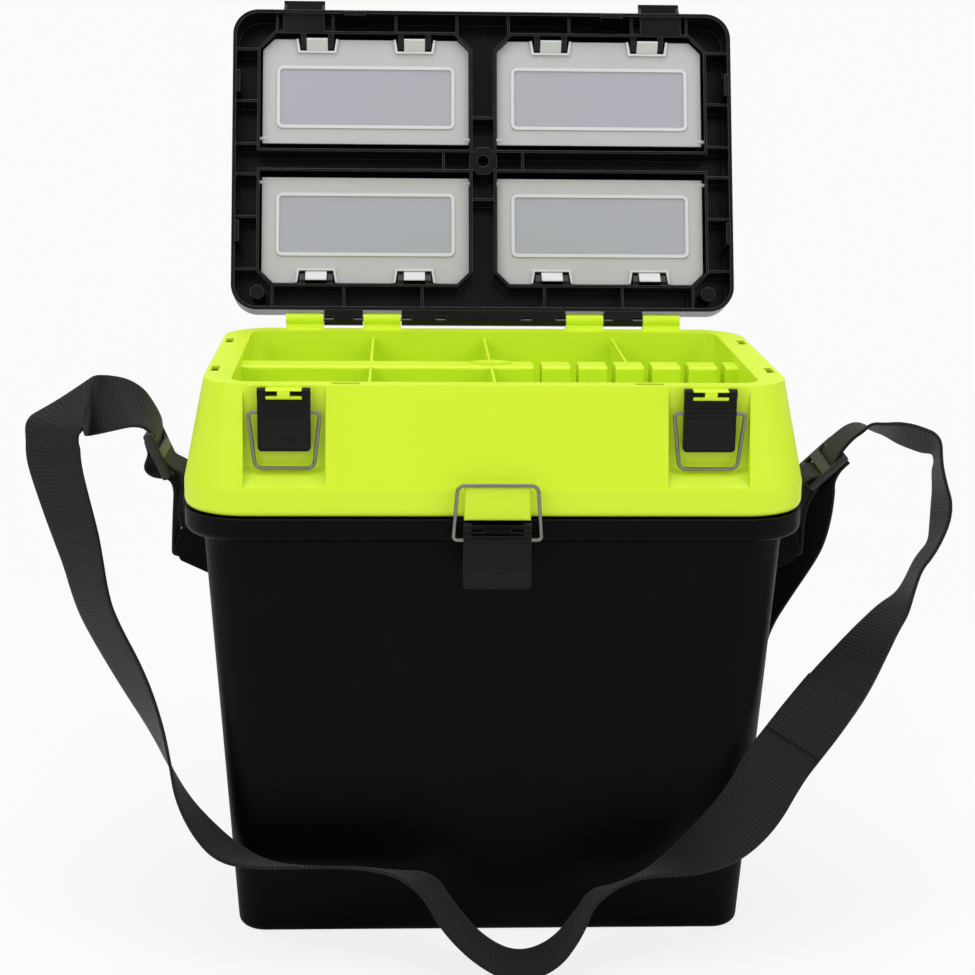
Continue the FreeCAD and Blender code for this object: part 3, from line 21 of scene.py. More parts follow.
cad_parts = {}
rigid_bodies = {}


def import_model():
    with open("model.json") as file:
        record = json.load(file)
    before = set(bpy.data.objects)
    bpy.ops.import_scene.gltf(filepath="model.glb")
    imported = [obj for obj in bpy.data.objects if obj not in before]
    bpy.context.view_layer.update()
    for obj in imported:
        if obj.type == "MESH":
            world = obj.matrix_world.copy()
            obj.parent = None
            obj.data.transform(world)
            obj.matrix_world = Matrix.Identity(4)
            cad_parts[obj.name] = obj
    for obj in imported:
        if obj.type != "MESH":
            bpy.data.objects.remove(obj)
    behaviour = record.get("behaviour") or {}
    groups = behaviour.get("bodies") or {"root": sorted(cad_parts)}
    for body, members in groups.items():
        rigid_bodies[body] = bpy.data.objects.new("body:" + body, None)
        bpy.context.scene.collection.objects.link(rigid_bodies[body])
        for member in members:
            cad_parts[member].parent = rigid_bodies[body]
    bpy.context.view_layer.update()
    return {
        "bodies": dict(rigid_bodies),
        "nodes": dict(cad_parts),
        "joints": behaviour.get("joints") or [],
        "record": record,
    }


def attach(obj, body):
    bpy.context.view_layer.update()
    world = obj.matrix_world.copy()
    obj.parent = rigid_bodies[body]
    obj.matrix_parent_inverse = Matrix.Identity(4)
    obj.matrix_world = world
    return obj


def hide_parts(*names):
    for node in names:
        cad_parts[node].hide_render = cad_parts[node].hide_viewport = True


LOG = logging.getLogger("seat_box")
MM = 0.001
EDGE_ROUND_MM = 0.6       # how far the shaders round a moulded edge
EDGE_SAMPLES = 6
EDGE_BEND = 0.9           # cosine between the rounded and the flat normal on a full edge


def linear(code: str) -> tuple[float, float, float, float]:
    """Turn an sRGB hex colour into linear light.

    Args:
        code: six hex digits, such as "d2e734".

    Returns:
        Linear red, green, blue and an alpha of 1.
    """
    parts = [int(code[i:i + 2], 16) / 255 for i in (0, 2, 4)]
    flat = [c / 12.92 if c <= 0.04045 else ((c + 0.055) / 1.055) ** 2.4 for c in parts]
    return (*flat, 1.0)


def add_node(tree: bpy.types.NodeTree, kind: str, inputs: dict | None = None, **settings: object) -> bpy.types.Node:
    """Add one node with its settings, values and links.

    Args:
        tree: the node tree.
        kind: the node's type name without its ShaderNode prefix.
        inputs: socket name or index to a value, or to a socket that is linked in.
        settings: properties of the node itself.

    Returns:
        The new node.
    """
    node = tree.nodes.new("ShaderNode" + kind)
    for name, value in settings.items():
        setattr(node, name, value)
    for key, value in (inputs or {}).items():
        if isinstance(value, bpy.types.NodeSocket):
            tree.links.new(value, node.inputs[key])
        else:
            node.inputs[key].default_value = value
    return node


def new_material(name: str) -> tuple[bpy.types.Material, bpy.types.NodeTree, bpy.types.Node]:
    """Start a material.

    Args:
        name: the material's name.

    Returns:
        The material, its node tree and its Principled shader, already linked to the output.
    """
    material = bpy.data.materials.new(name)
    material.use_nodes = True
    tree = material.node_tree
    tree.nodes.clear()
    shader = add_node(tree, "BsdfPrincipled")
    add_node(tree, "OutputMaterial", {"Surface": shader.outputs["BSDF"]})
    return material, tree, shader


def edge_highlight_mask(tree: bpy.types.NodeTree, soft: bpy.types.Node) -> bpy.types.NodeSocket:
    """Mask of a moulding's rounded edges, where the rounded normal leaves the face's own; a painted highlight colour
    is mixed in along it.

    Args:
        tree: the node tree.
        soft: the Bevel node that rounds the edges.

    Returns:
        A socket that is 1 on an edge and 0 on a face.
    """
    face = add_node(tree, "NewGeometry")
    bend = add_node(tree, "VectorMath", {0: soft.outputs["Normal"], 1: face.outputs["Normal"]},
                    operation="DOT_PRODUCT")
    mask = add_node(tree, "MapRange", {"Value": bend.outputs["Value"], "From Min": 1.0, "From Max": EDGE_BEND})
    return mask.outputs["Result"]


@dataclass(frozen=True)
class MouldedPlastic:
    """Injection-moulded polypropylene: an even colour that drifts a little, a fine skin grain, and a painted highlight
    along its rounded edges where an edge colour is given.
    """

    name: str
    colour: str
    shade: str
    roughness: float
    grain_mm: float
    grain_height_mm: float
    specular: float = 0.5
    # colour of the painted highlight along the rounded edges, or none
    edge: str | None = None
    gloss_spread: tuple[float, float] = (-0.05, 0.07)
    grain_strength: float = 0.35
    drift_per_m: float = 9.0              # patches of colour and of gloss along a metre
    smears_per_m: float = 26.0

    def build(self) -> bpy.types.Material:
        """Make the material."""
        material, tree, shader = new_material(self.name)
        place = add_node(tree, "TexCoord").outputs["Object"]
        drift = add_node(tree, "TexNoise", {"Vector": place, "Scale": self.drift_per_m, "Detail": 3.0,
                                           "Roughness": 0.55})
        tint = add_node(tree, "Mix", {"Factor": drift.outputs["Fac"], "A": linear(self.colour),
                                      "B": linear(self.shade)}, data_type="RGBA")
        grain = add_node(tree, "TexNoise", {"Vector": place, "Scale": 1 / (self.grain_mm * MM), "Detail": 2.0})
        soft = add_node(tree, "Bevel", {"Radius": EDGE_ROUND_MM * MM}, samples=EDGE_SAMPLES)
        bump = add_node(tree, "Bump", {"Height": grain.outputs["Fac"], "Strength": self.grain_strength,
                                       "Distance": self.grain_height_mm * MM, "Normal": soft.outputs["Normal"]})
        # painted highlight: the edge colour is mixed in along the rounded edges
        if self.edge:
            tint = add_node(tree, "Mix", {"Factor": edge_highlight_mask(tree, soft), "A": tint.outputs["Result"],
                                          "B": linear(self.edge)}, data_type="RGBA")
        smears = add_node(tree, "TexNoise", {"Vector": place, "Scale": self.smears_per_m, "Detail": 4.0,
                                            "Roughness": 0.6})
        gloss = add_node(tree, "MapRange", {"Value": smears.outputs["Fac"], "From Min": 0.3, "From Max": 0.7,
                                            "To Min": self.roughness + self.gloss_spread[0],
                                            "To Max": self.roughness + self.gloss_spread[1]})
        tree.links.new(tint.outputs["Result"], shader.inputs["Base Color"])
        tree.links.new(gloss.outputs["Result"], shader.inputs["Roughness"])
        tree.links.new(bump.outputs["Normal"], shader.inputs["Normal"])
        shader.inputs["Specular IOR Level"].default_value = self.specular
        return material


@dataclass(frozen=True)
class FrostedCover:
    """Thin natural polypropylene: milky, with painted shade over the bays' hollows and a painted highlight on its
    ridges and rounded edges.
    """

    name: str = "natural_polypropylene_frosted"
    border: str = "b4b4b5"
    # painted shade over the bays' hollows
    painted_hollow_shade: str = "a2a2ac"
    # painted highlight on the raised ridges and the rounded edges
    ridge_highlight: str = "cacacd"
    roughness: float = 0.42
    specular: float = 0.3
    grain_mm: float = 0.9
    grain_height_mm: float = 0.03
    grain_strength: float = 0.3
    fade_mm: float = 0.4
    hinge_m: tuple[float, float, float] = (0.0, 0.117, 0.3673)
    lean_deg: float = 19.3
    window_u_mm: tuple[float, float] = (83.0, 62.0)
    window_v_mm: tuple[float, float, float] = (68.1, 160.1, 22.7)
    ridge_w_mm: float = -2.6

    def build(self) -> bpy.types.Material:
        """Make the material in the lid's own axes, in mm: U across, V up the lid, W out of its face."""
        material, tree, shader = new_material(self.name)
        place = add_node(tree, "TexCoord").outputs["Object"]
        lid = add_node(tree, "Mapping", {"Vector": place, "Location": self.hinge_m, "Scale": (MM, MM, MM),
                                         "Rotation": (math.radians(90 - self.lean_deg), 0.0, 0.0)},
                       vector_type="TEXTURE")
        axes = add_node(tree, "SeparateXYZ", {"Vector": lid.outputs["Vector"]})
        across = add_node(tree, "Math", {0: axes.outputs["X"]}, operation="ABSOLUTE")
        inside = [self.within(tree, across.outputs[0], *self.window_u_mm)]
        lower, upper, half = self.window_v_mm
        rows = [self.within(tree, axes.outputs["Y"], middle, half) for middle in (lower, upper)]
        inside.append(add_node(tree, "Math", {0: rows[0], 1: rows[1]}, operation="MAXIMUM").outputs[0])
        # mask of the painted shade over the bays' hollows
        painted_hollow_shade = add_node(tree, "Math", {0: inside[0], 1: inside[1]}, operation="MULTIPLY")
        # painted highlight on the raised parts of the cover
        raised_highlight = add_node(tree, "MapRange", {"Value": axes.outputs["Z"], "From Min": self.ridge_w_mm - self.fade_mm,
                                             "From Max": self.ridge_w_mm + self.fade_mm / 2})
        tint = add_node(tree, "Mix", {"Factor": painted_hollow_shade.outputs[0], "A": linear(self.border),
                                      "B": linear(self.painted_hollow_shade)}, data_type="RGBA")
        lit = add_node(tree, "Mix", {"Factor": raised_highlight.outputs["Result"], "A": tint.outputs["Result"],
                                     "B": linear(self.ridge_highlight)}, data_type="RGBA")
        soft = add_node(tree, "Bevel", {"Radius": EDGE_ROUND_MM * MM}, samples=EDGE_SAMPLES)
        # painted highlight along the rounded edges
        lit = add_node(tree, "Mix", {"Factor": edge_highlight_mask(tree, soft), "A": lit.outputs["Result"],
                                     "B": linear(self.ridge_highlight)}, data_type="RGBA")
        grain = add_node(tree, "TexNoise", {"Vector": place, "Scale": 1 / (self.grain_mm * MM), "Detail": 2.0})
        bump = add_node(tree, "Bump", {"Height": grain.outputs["Fac"], "Strength": self.grain_strength,
                                       "Distance": self.grain_height_mm * MM, "Normal": soft.outputs["Normal"]})
        tree.links.new(lit.outputs["Result"], shader.inputs["Base Color"])
        tree.links.new(bump.outputs["Normal"], shader.inputs["Normal"])
        shader.inputs["Roughness"].default_value = self.roughness
        shader.inputs["Specular IOR Level"].default_value = self.specular
        return material

    def within(self, tree: bpy.types.NodeTree, value: bpy.types.NodeSocket, middle: float,
               half: float) -> bpy.types.NodeSocket:
        """Soft-edged mask of the values near a middle.

        Args:
            tree: the node tree.
            value: the value to test, in mm.
            middle: the middle of the range.
            half: half its width.

        Returns:
            A socket that is 1 inside the range and 0 outside it.
        """
        off = add_node(tree, "Math", {0: value, 1: middle}, operation="SUBTRACT")
        far = add_node(tree, "Math", {0: off.outputs[0]}, operation="ABSOLUTE")
        mask = add_node(tree, "MapRange", {"Value": far.outputs[0], "From Min": half + self.fade_mm,
                                           "From Max": half - self.fade_mm})
        return mask.outputs["Result"]


@dataclass(frozen=True)
class SteelWire:
    """Dull drawn stainless wire: metallic, with faint draw lines along X."""

    name: str
    colour: str = "8f8f86"
    dark: str = "6c6c66"
    roughness: float = 0.35
    gloss_spread: tuple[float, float] = (-0.08, 0.12)
    lines_per_m: tuple[float, float, float] = (40.0, 900.0, 900.0)

    def build(self) -> bpy.types.Material:
        """Make the material."""
        material, tree, shader = new_material(self.name)
        place = add_node(tree, "TexCoord").outputs["Object"]
        stretched = add_node(tree, "Mapping", {"Vector": place, "Scale": self.lines_per_m})
        lines = add_node(tree, "TexNoise", {"Vector": stretched.outputs["Vector"], "Scale": 1.0, "Detail": 2.0})
        gloss = add_node(tree, "MapRange", {"Value": lines.outputs["Fac"],
                                            "To Min": self.roughness + self.gloss_spread[0],
                                            "To Max": self.roughness + self.gloss_spread[1]})
        tint = add_node(tree, "Mix", {"Factor": lines.outputs["Fac"], "A": linear(self.colour),
                                      "B": linear(self.dark)}, data_type="RGBA")
        tree.links.new(tint.outputs["Result"], shader.inputs["Base Color"])
        tree.links.new(gloss.outputs["Result"], shader.inputs["Roughness"])
        shader.inputs["Metallic"].default_value = 1.0
        return material


@dataclass(frozen=True)
class WovenWebbing:
    """Polypropylene strap webbing: ribs across it and warp yarns along it."""

    name: str = "woven_polypropylene_webbing"
    yarn: str = "2c2c2d"
    # painted shade in the weave's grooves
    groove_shade: str = "0e0e0f"
    rib_mm: float = 2.5
    warp_mm: float = 1.6
    height_mm: float = 0.35
    warp_share: float = 0.35              # how much of the relief comes from the warp yarns
    roughness: float = 0.62
    specular: float = 0.15
    sheen: float = 0.1
    sheen_roughness: float = 0.4

    def build(self) -> bpy.types.Material:
        """Make the material; the map's U is millimetres across the webbing and its V along it."""
        material, tree, shader = new_material(self.name)
        place = add_node(tree, "UVMap", uv_map="strip").outputs["UV"]
        axes = add_node(tree, "SeparateXYZ", {"Vector": place})
        turn = 2 * math.pi
        column = add_node(tree, "Math", {0: axes.outputs["X"], 1: turn / self.warp_mm}, operation="MULTIPLY")
        column_wave = add_node(tree, "Math", {0: column.outputs["Value"]}, operation="SINE")
        side = add_node(tree, "Math", {0: column_wave.outputs["Value"]}, operation="SIGN")
        shift = add_node(tree, "Math", {0: side.outputs["Value"], 1: math.pi / 4}, operation="MULTIPLY")
        row = add_node(tree, "Math", {0: axes.outputs["Y"], 1: turn / self.rib_mm, 2: shift.outputs["Value"]},
                       operation="MULTIPLY_ADD")
        row_wave = add_node(tree, "Math", {0: row.outputs["Value"]}, operation="SINE")
        column_soft = add_node(tree, "Math", {0: column_wave.outputs["Value"]}, operation="ABSOLUTE")
        weave = add_node(tree, "Math", {0: column_soft.outputs["Value"], 1: self.warp_share,
                                       2: row_wave.outputs["Value"]}, operation="MULTIPLY_ADD")
        level = add_node(tree, "MapRange", {"Value": weave.outputs["Value"], "From Min": -0.9, "From Max": 1.2})
        fuzz = add_node(tree, "TexNoise", {"Vector": place, "Scale": 0.9, "Detail": 3.0})
        # painted shade in the low parts of the weave, times a random fuzz of tone
        groove_shade_and_fuzz = add_node(tree, "Math", {0: level.outputs["Result"], 1: fuzz.outputs["Fac"]}, operation="MULTIPLY")
        tint = add_node(tree, "Mix", {"Factor": groove_shade_and_fuzz.outputs["Value"], "A": linear(self.groove_shade),
                                      "B": linear(self.yarn)}, data_type="RGBA")
        bump = add_node(tree, "Bump", {"Height": level.outputs["Result"], "Strength": 0.8,
                                       "Distance": self.height_mm * MM})
        tree.links.new(tint.outputs["Result"], shader.inputs["Base Color"])
        tree.links.new(bump.outputs["Normal"], shader.inputs["Normal"])
        shader.inputs["Roughness"].default_value = self.roughness
        shader.inputs["Specular IOR Level"].default_value = self.specular
        shader.inputs["Sheen Weight"].default_value = self.sheen
        shader.inputs["Sheen Roughness"].default_value = self.sheen_roughness
        return material


class Finish(Enum):
    """The finishes of the box, each with the recipe of its material."""

    LIME = MouldedPlastic("lime_polypropylene_moulded", "cde92a", "c6e222", 0.42, 0.55, 0.04, specular=0.35)
    # Each edge colour below is a painted highlight along the rounded edges.
    BLACK_BUCKET = MouldedPlastic("black_polypropylene_moulded", "030303", "060606", 0.45, 0.6, 0.05, specular=0.06,
                                  edge="3a3a3a")
    BLACK_LID = MouldedPlastic("black_polypropylene_glossy", "060607", "0a0a0b", 0.24, 0.9, 0.02, specular=0.25,
                               edge="4a4a4c")
    BLACK_LEVER = MouldedPlastic("black_acetal_moulded", "0d0d0c", "141413", 0.36, 0.4, 0.03, specular=0.12,
                                 edge="282827")
    BLACK_SLIDE = MouldedPlastic("black_acetal_slide", "141413", "1c1c1a", 0.34, 0.4, 0.03, specular=0.4)
    COVER = FrostedCover()
    WIRE = SteelWire("stainless_wire_drawn")
    PIN = SteelWire("steel_rod_drawn", colour="b9b9bb", dark="9c9c9f", roughness=0.3)
    WEBBING = WovenWebbing()

    def material(self) -> bpy.types.Material:
        """The finish's material, made once."""
        return bpy.data.materials.get(self.value.name) or self.value.build()


def dress(node: bpy.types.Object, finish: Finish) -> None:
    """Give a node its finish.

    Args:
        node: the CAD node's object.
        finish: the finish that fills all its material slots.
    """
    node.data.materials.clear()
    node.data.materials.append(finish.material())


def mesh_object(name: str, mesh: bmesh.types.BMesh) -> bpy.types.Object:
    """Turn a finished bmesh into an object in the scene.

    Args:
        name: the object's and its mesh's name.
        mesh: the bmesh, which is freed.

    Returns:
        The object.
    """
    data = bpy.data.meshes.new(name)
    mesh.to_mesh(data)
    mesh.free()
    made = bpy.data.objects.new(name, data)
    bpy.context.scene.collection.objects.link(made)
    return made


def thicken(sheet: bpy.types.Object, thick_mm: float, round_mm: float, segments: int, angle_deg: float) -> None:
    """Give a sheet its thickness and rounded edges.

    Args:
        sheet: the object, a surface at mid-thickness.
        thick_mm: its thickness.
        round_mm: width of the rounding.
        segments: facets of the rounding.
        angle_deg: edges sharper than this are rounded.
    """
    wall = sheet.modifiers.new("thickness", "SOLIDIFY")
    wall.thickness = thick_mm * MM
    wall.offset = 0.0
    edge = sheet.modifiers.new("edge", "BEVEL")
    edge.width = round_mm * MM
    edge.segments = segments
    edge.limit_method = "ANGLE"
    edge.angle_limit = math.radians(angle_deg)


@dataclass(frozen=True)
class Station:
    """One place on a strap: the middle of the webbing and the direction of its width, in mm."""

    middle: tuple[float, float, float]
    across: tuple[float, float, float]


@dataclass
class Webbing:
    """A stretch of flat webbing through given stations."""

    name: str
    stations: Sequence[Station]
    width_mm: float = 40.0
    thick_mm: float = 2.0
    round_mm: float = 0.6
    rows_per_station: int = 12
    columns: int = 10
    path: list[Vector] = field(default_factory=list)
    left: list[Vector] = field(default_factory=list)
    right: list[Vector] = field(default_factory=list)

    def trace(self) -> None:
        """Read the middle and both edges of the webbing from smooth splines."""
        half = self.width_mm / 2
        rows = {"left": [], "right": [], "middle": []}
        for station in self.stations:
            middle, across = Vector(station.middle), Vector(station.across).normalized()
            rows["left"].append((middle + across * half) * MM)
            rows["right"].append((middle - across * half) * MM)
            rows["middle"].append(middle * MM)
        self.left = self.smooth(rows["left"])
        self.right = self.smooth(rows["right"])
        self.path = self.smooth(rows["middle"])

    def smooth(self, points: list[Vector]) -> list[Vector]:
        """Points along the NURBS spline that has the given control points.

        Args:
            points: control points, in metres.

        Returns:
            Points along the smooth line.
        """
        curve = bpy.data.curves.new("route", "CURVE")
        curve.dimensions = "3D"
        spline = curve.splines.new("NURBS")
        spline.points.add(len(points) - 1)
        for point, place in zip(spline.points, points):
            point.co = (*place, 1.0)
        spline.order_u = 3
        spline.use_endpoint_u = True
        spline.resolution_u = self.rows_per_station
        carrier = bpy.data.objects.new("route", curve)
        bpy.context.scene.collection.objects.link(carrier)
        bpy.context.view_layer.update()
        mesh = bpy.data.meshes.new_from_object(carrier.evaluated_get(bpy.context.evaluated_depsgraph_get()))
        line = [vertex.co.copy() for vertex in mesh.vertices]
        bpy.data.objects.remove(carrier)
        bpy.data.curves.remove(curve)
        bpy.data.meshes.remove(mesh)
        return line

    def length(self) -> float:
        """Length of the middle line, in metres."""
        return sum((b - a).length for a, b in zip(self.path, self.path[1:]))

    def build(self, lift_mm: float = 0.0, first: int = 0, last: int | None = None) -> bpy.types.Object:
        """Make the webbing as a closed strip.

        Args:
            lift_mm: how far the strip lies off the traced one, along its normal.
            first: first traced row.
            last: row after the last one.

        Returns:
            The strip's object.
        """
        left, right, path = (rows[first:last] for rows in (self.left, self.right, self.path))
        mesh = bmesh.new()
        chains = []
        for side in (left, right):
            verts = []
            for index, point in enumerate(side):
                before, after = path[max(index - 1, 0)], path[min(index + 1, len(path) - 1)]
                normal = (after - before).cross(left[index] - right[index]).normalized()
                verts.append(mesh.verts.new(point + normal * lift_mm * MM))
            chains.append([mesh.edges.new(pair) for pair in zip(verts, verts[1:])])
        mesh.verts.index_update()
        bmesh.ops.bridge_loops(mesh, edges=chains[0] + chains[1])
        run = [0.0]
        for a, b in zip(path, path[1:]):
            run.append(run[-1] + (b - a).length / MM)
        uv_layer = mesh.loops.layers.uv.new("strip")
        count = len(left)
        mesh.verts.index_update()
        for face in mesh.faces:
            for loop in face.loops:
                side, row = divmod(loop.vert.index, count)
                loop[uv_layer].uv = (side * self.width_mm, run[row])
        rungs = [edge for edge in mesh.edges if {v.index // count for v in edge.verts} == {0, 1}]
        bmesh.ops.subdivide_edges(mesh, edges=rungs, cuts=self.columns - 1, use_grid_fill=True)
        bmesh.ops.recalc_face_normals(mesh, faces=mesh.faces)
        strip = mesh_object(self.name, mesh)
        thicken(strip, self.thick_mm, self.round_mm, segments=2, angle_deg=50)
        for polygon in strip.data.polygons:
            polygon.use_smooth = True
        strip.data.materials.append(Finish.WEBBING.material())
        return strip


def stations(*rows: tuple[tuple[float, float, float], tuple[float, float, float]]) -> list[Station]:
    """Stations from pairs of middle and width direction."""
    return [Station(middle, across) for middle, across in rows]


@dataclass(frozen=True)
class Slide:
    """Three-bar slide that the webbing threads through.

    Its columns and rows, in mm, are the lines of the grid that it is cut from.
    """

    name: str
    foot: tuple[float, float, float]      # middle of its lower edge, in mm
    run: tuple[float, float, float]       # direction of its length
    across: tuple[float, float, float] = (0.0, 1.0, 0.0)
    thick_mm: float = 4.5
    round_mm: float = 1.4
    columns: tuple[float, ...] = (-24.0, -20.8, 20.8, 24.0)
    rows: tuple[float, ...] = (0.0, 7.0, 12.0, 20.0, 25.0, 32.0)
    slot_column: int = 1
    slot_rows: tuple[int, int] = (1, 3)

    def build(self) -> bpy.types.Object:
        """Make the slide from a grid whose slots are left out."""
        mesh = bmesh.new()
        bmesh.ops.create_grid(mesh, x_segments=len(self.columns) - 1, y_segments=len(self.rows) - 1, size=1.0)
        levels = [sorted({round(vert.co[axis], 4) for vert in mesh.verts}) for axis in (0, 1)]
        spots = {vert: [levels[axis].index(round(vert.co[axis], 4)) for axis in (0, 1)] for vert in mesh.verts}
        slots = []
        for face in mesh.faces:
            column, row = (min(spots[vert][axis] for vert in face.verts) for axis in (0, 1))
            if column == self.slot_column and row in self.slot_rows:
                slots.append(face)
        foot, run, across = Vector(self.foot), Vector(self.run).normalized(), Vector(self.across).normalized()
        for vert, (column, row) in spots.items():
            vert.co = (foot + across * self.columns[column] + run * self.rows[row]) * MM
        bmesh.ops.delete(mesh, geom=slots, context="FACES")
        slide = mesh_object(self.name, mesh)
        thicken(slide, self.thick_mm, self.round_mm, segments=3, angle_deg=40)
        slide.data.materials.append(Finish.BLACK_SLIDE.material())
        return slide


@dataclass
class ShoulderStrap:
    """The shoulder strap: two loops round the lugs, their slides, the sling, its sewn overlap and a free tail."""

    ply_mm: float = 2.4                   # from the sling's middle to the overlap's
    width_m: float = 0.040                # width of both cords
    path_step: int = 6                    # rows between the given points of a cord's path
    sling_route: list[Station] = field(default_factory=lambda: stations(
        ((-216.3, 0, 297.9), (0, -20, 0)), ((-215.8, 0, 305), (0, -20, 0)), ((-215, 0, 311), (0, -20, 0)),
        ((-217, 1, 316), (-1, -20, -1)), ((-222, 3, 322), (-1, -19, -4)), ((-229, 4, 326.5), (-2, -18, -9)),
        ((-238, 5, 328.5), (-1, -15, -14)), ((-249, 6, 328), (-1, -11, -17)), ((-256, 7, 327), (-3, -5, -19)),
        ((-258.5, 7, 326.5), (-3, -6, -19)), ((-259.5, 6.5, 326.5), (-2, -9, -18)), ((-260, 2, 330), (-1, -15, -13)),
        ((-265, 0, 327), (4, -17, -9)), ((-272, -2, 321.5), (11, -16, -6)), ((-279.5, -5, 317), (16, -11, -4)),
        ((-281, -6, 315.5), (17, -10, -4)), ((-282.5, -7, 311), (18, -8, -4)),
        ((-281.5, -9, 305), (18, -8, -1)), ((-281.5, -10, 297), (19, -8, 0)),
        ((-280, -12, 289), (18, -8, 1)), ((-277, -15, 279), (17, -9, 3)), ((-272, -20, 264), (16, -10, 6)),
        ((-266, -26, 247), (15, -11, 6)), ((-261, -32, 231), (14, -13, 6)), ((-257, -37, 214), (13, -14, 6)),
        ((-251, -42, 197), (13, -16, 7)), ((-229, -56, 162), (11, -16, 8)), ((-213, -66, 132), (6, -18, 8)),
        ((-204, -74, 109), (2, -18, 8)), ((-196, -83, 91), (-2, -18, 7)), ((-183, -95, 76), (-4, -18, 4)),
        ((-166, -108, 64), (-5, -18, 3)), ((-145, -113, 58), (-3, -18, 6)), ((-118, -114, 57), (1, -18, 8)),
        ((-88, -114, 57), (1, -18, 8)), ((-60, -117, 54), (0, -18, 7)), ((-40, -127, 51), (-3, -19, 1)),
        ((-29, -140, 36), (-4, -18, 1)), ((-10, -148, 17), (-3, -19, 1)), ((13, -150, 5), (-2, -20, 0)),
        ((37, -148, 12), (0, -19, 0)), ((53, -140, 30), (0, -18, 1)), ((61, -130, 42), (-1, -18, 3)),
        ((75, -123, 46), (-2, -18, 7)), ((91, -120, 52), (-3, -18, 7)), ((107, -120, 58), (-1, -18, 3)),
        ((124, -121, 66), (4, -17, -3)), ((143, -121, 78), (9, -13, -8)), ((161, -118, 96), (14, -7, -9)),
        ((177, -108, 121), (16, -5, -9)), ((190, -100, 134), (16, -6, -9)), ((203, -92, 147), (15, -7, -8)),
        ((222, -81, 167), (13, -12, -4)), ((239, -72, 189), (10, -17, 1)), ((249, -64, 199), (7, -19, 2)),
        ((259, -56, 207), (4, -19, 2)), ((267, -50, 214), (0, -20, 4)), ((272, -46, 223), (-2, -20, 3)),
        ((276, -43, 232), (-2, -20, 4)), ((282, -40, 239), (-1, -19, 4)), ((288.5, -38, 248), (-1, -19, 6)),
        ((291.5, -35, 260), (1, -19, 6)), ((292.5, -32, 272), (1, -19, 5)), ((291.5, -29, 282), (-1, -19, 5)),
        ((290, -26, 293), (-2, -19, 5)), ((290.5, -24, 299), (-3, -18, 7)), ((290.5, -22, 305), (-3, -18, 9)),
        ((288, -20, 309), (-4, -17, 10)), ((282, -18, 310), (-4, -16, 11)), ((275, -15, 312), (-4, -16, 11)),
        ((266, -12, 314), (-4, -17, 10)), ((258, -10, 316), (-4, -18, 7)), ((250, -8, 317), (-5, -18, 6)),
        ((243, -6, 316.5), (-3, -20, 1)), ((237, -3, 313), (-2, -20, 0)), ((231.5, -1, 307), (-1, -20, 0)),
        ((227.5, 0, 302), (0, -20, 0)), ((224.2, 0, 295.2), (0, -20, 0)), ((224, 0, 290.2), (0, -20, 0)),
    ))
    tail_route: list[Station] = field(default_factory=lambda: stations(
        ((233.6, 0, 296), (0, -20, 0)), ((229, 0, 291.8), (0, -20, 0)), ((225, 0, 287.2), (1, -20, 0)),
        ((220, 0, 281.5), (4, -19, 0)), ((217, 0, 275), (8, -18, 0)), ((215.5, 1, 261), (9, -18, 0)),
        ((214, 2, 247), (8, -18, 0)), ((211.5, 3, 235), (7, -19, 0)), ((204, 7, 223), (10, -17, 0)),
        ((191, 12, 201), (12, -16, 0)), ((183, 16, 180), (8, -18, 0)), ((180.5, 20, 160), (6, -19, 0)),
        ((178, 24, 140), (5, -19, 0)), ((177, 28, 118), (4, -20, 0)), ((176, 32, 96), (3, -20, 0)),
        ((175.5, 35, 74), (2, -20, 0)), ((175, 37, 58), (2, -20, 0)),
    ))
    overlap_from: int = 50                # stations of the sling between which it is sewn double
    overlap_to: int = 52
    left_loop: tuple[tuple[float, float], ...] = (
        (-221.0, 309.0), (-219.8, 304.5), (-218.6, 300.0), (-222.2, 291.5), (-219.0, 287.0), (-213.8, 285.2),
        (-206.0, 284.8), (-202.8, 278.0), (-203.6, 266.0), (-204.4, 252.0), (-205.0, 238.5), (-205.0, 233.5),
        (-195.0, 233.5), (-195.0, 238.5), (-197.6, 250.0), (-200.2, 258.0), (-200.4, 268.0), (-197.5, 279.5),
        (-197.4, 286.4), (-201.6, 289.3), (-207.0, 291.6), (-210.4, 297.4),
    )
    right_loop: tuple[tuple[float, float], ...] = (
        (220.4, 286.8), (214.8, 286.0), (208.2, 284.6), (204.0, 279.0), (199.0, 271.0), (195.6, 262.0),
        (195.0, 250.0), (195.0, 238.5), (195.0, 233.5), (205.0, 233.5), (205.0, 238.5), (205.2, 250.0),
        (206.0, 262.0), (209.0, 271.5), (214.6, 281.0),
    )
    slides: tuple[Slide, ...] = (
        Slide("strap_slide_moulded_left", (-206.9, 0.0, 284.5), (-0.395, 0.0, 0.919), thick_mm=6.4, round_mm=2.4),
        Slide("strap_slide_moulded_right", (208.0, 0.0, 279.5), (0.72, 0.0, 0.69), (0.0, 1.0, 0.06)),
    )

    def loop(self, name: str, route: Sequence[tuple[float, float]]) -> Webbing:
        """Webbing loop in the plane across the lug.

        Args:
            name: the piece's name.
            route: its points as (x, z).

        Returns:
            The traced webbing.
        """
        web = Webbing(name, [Station((x, 0, z), (0, 20, 0)) for x, z in route])
        web.trace()
        return web

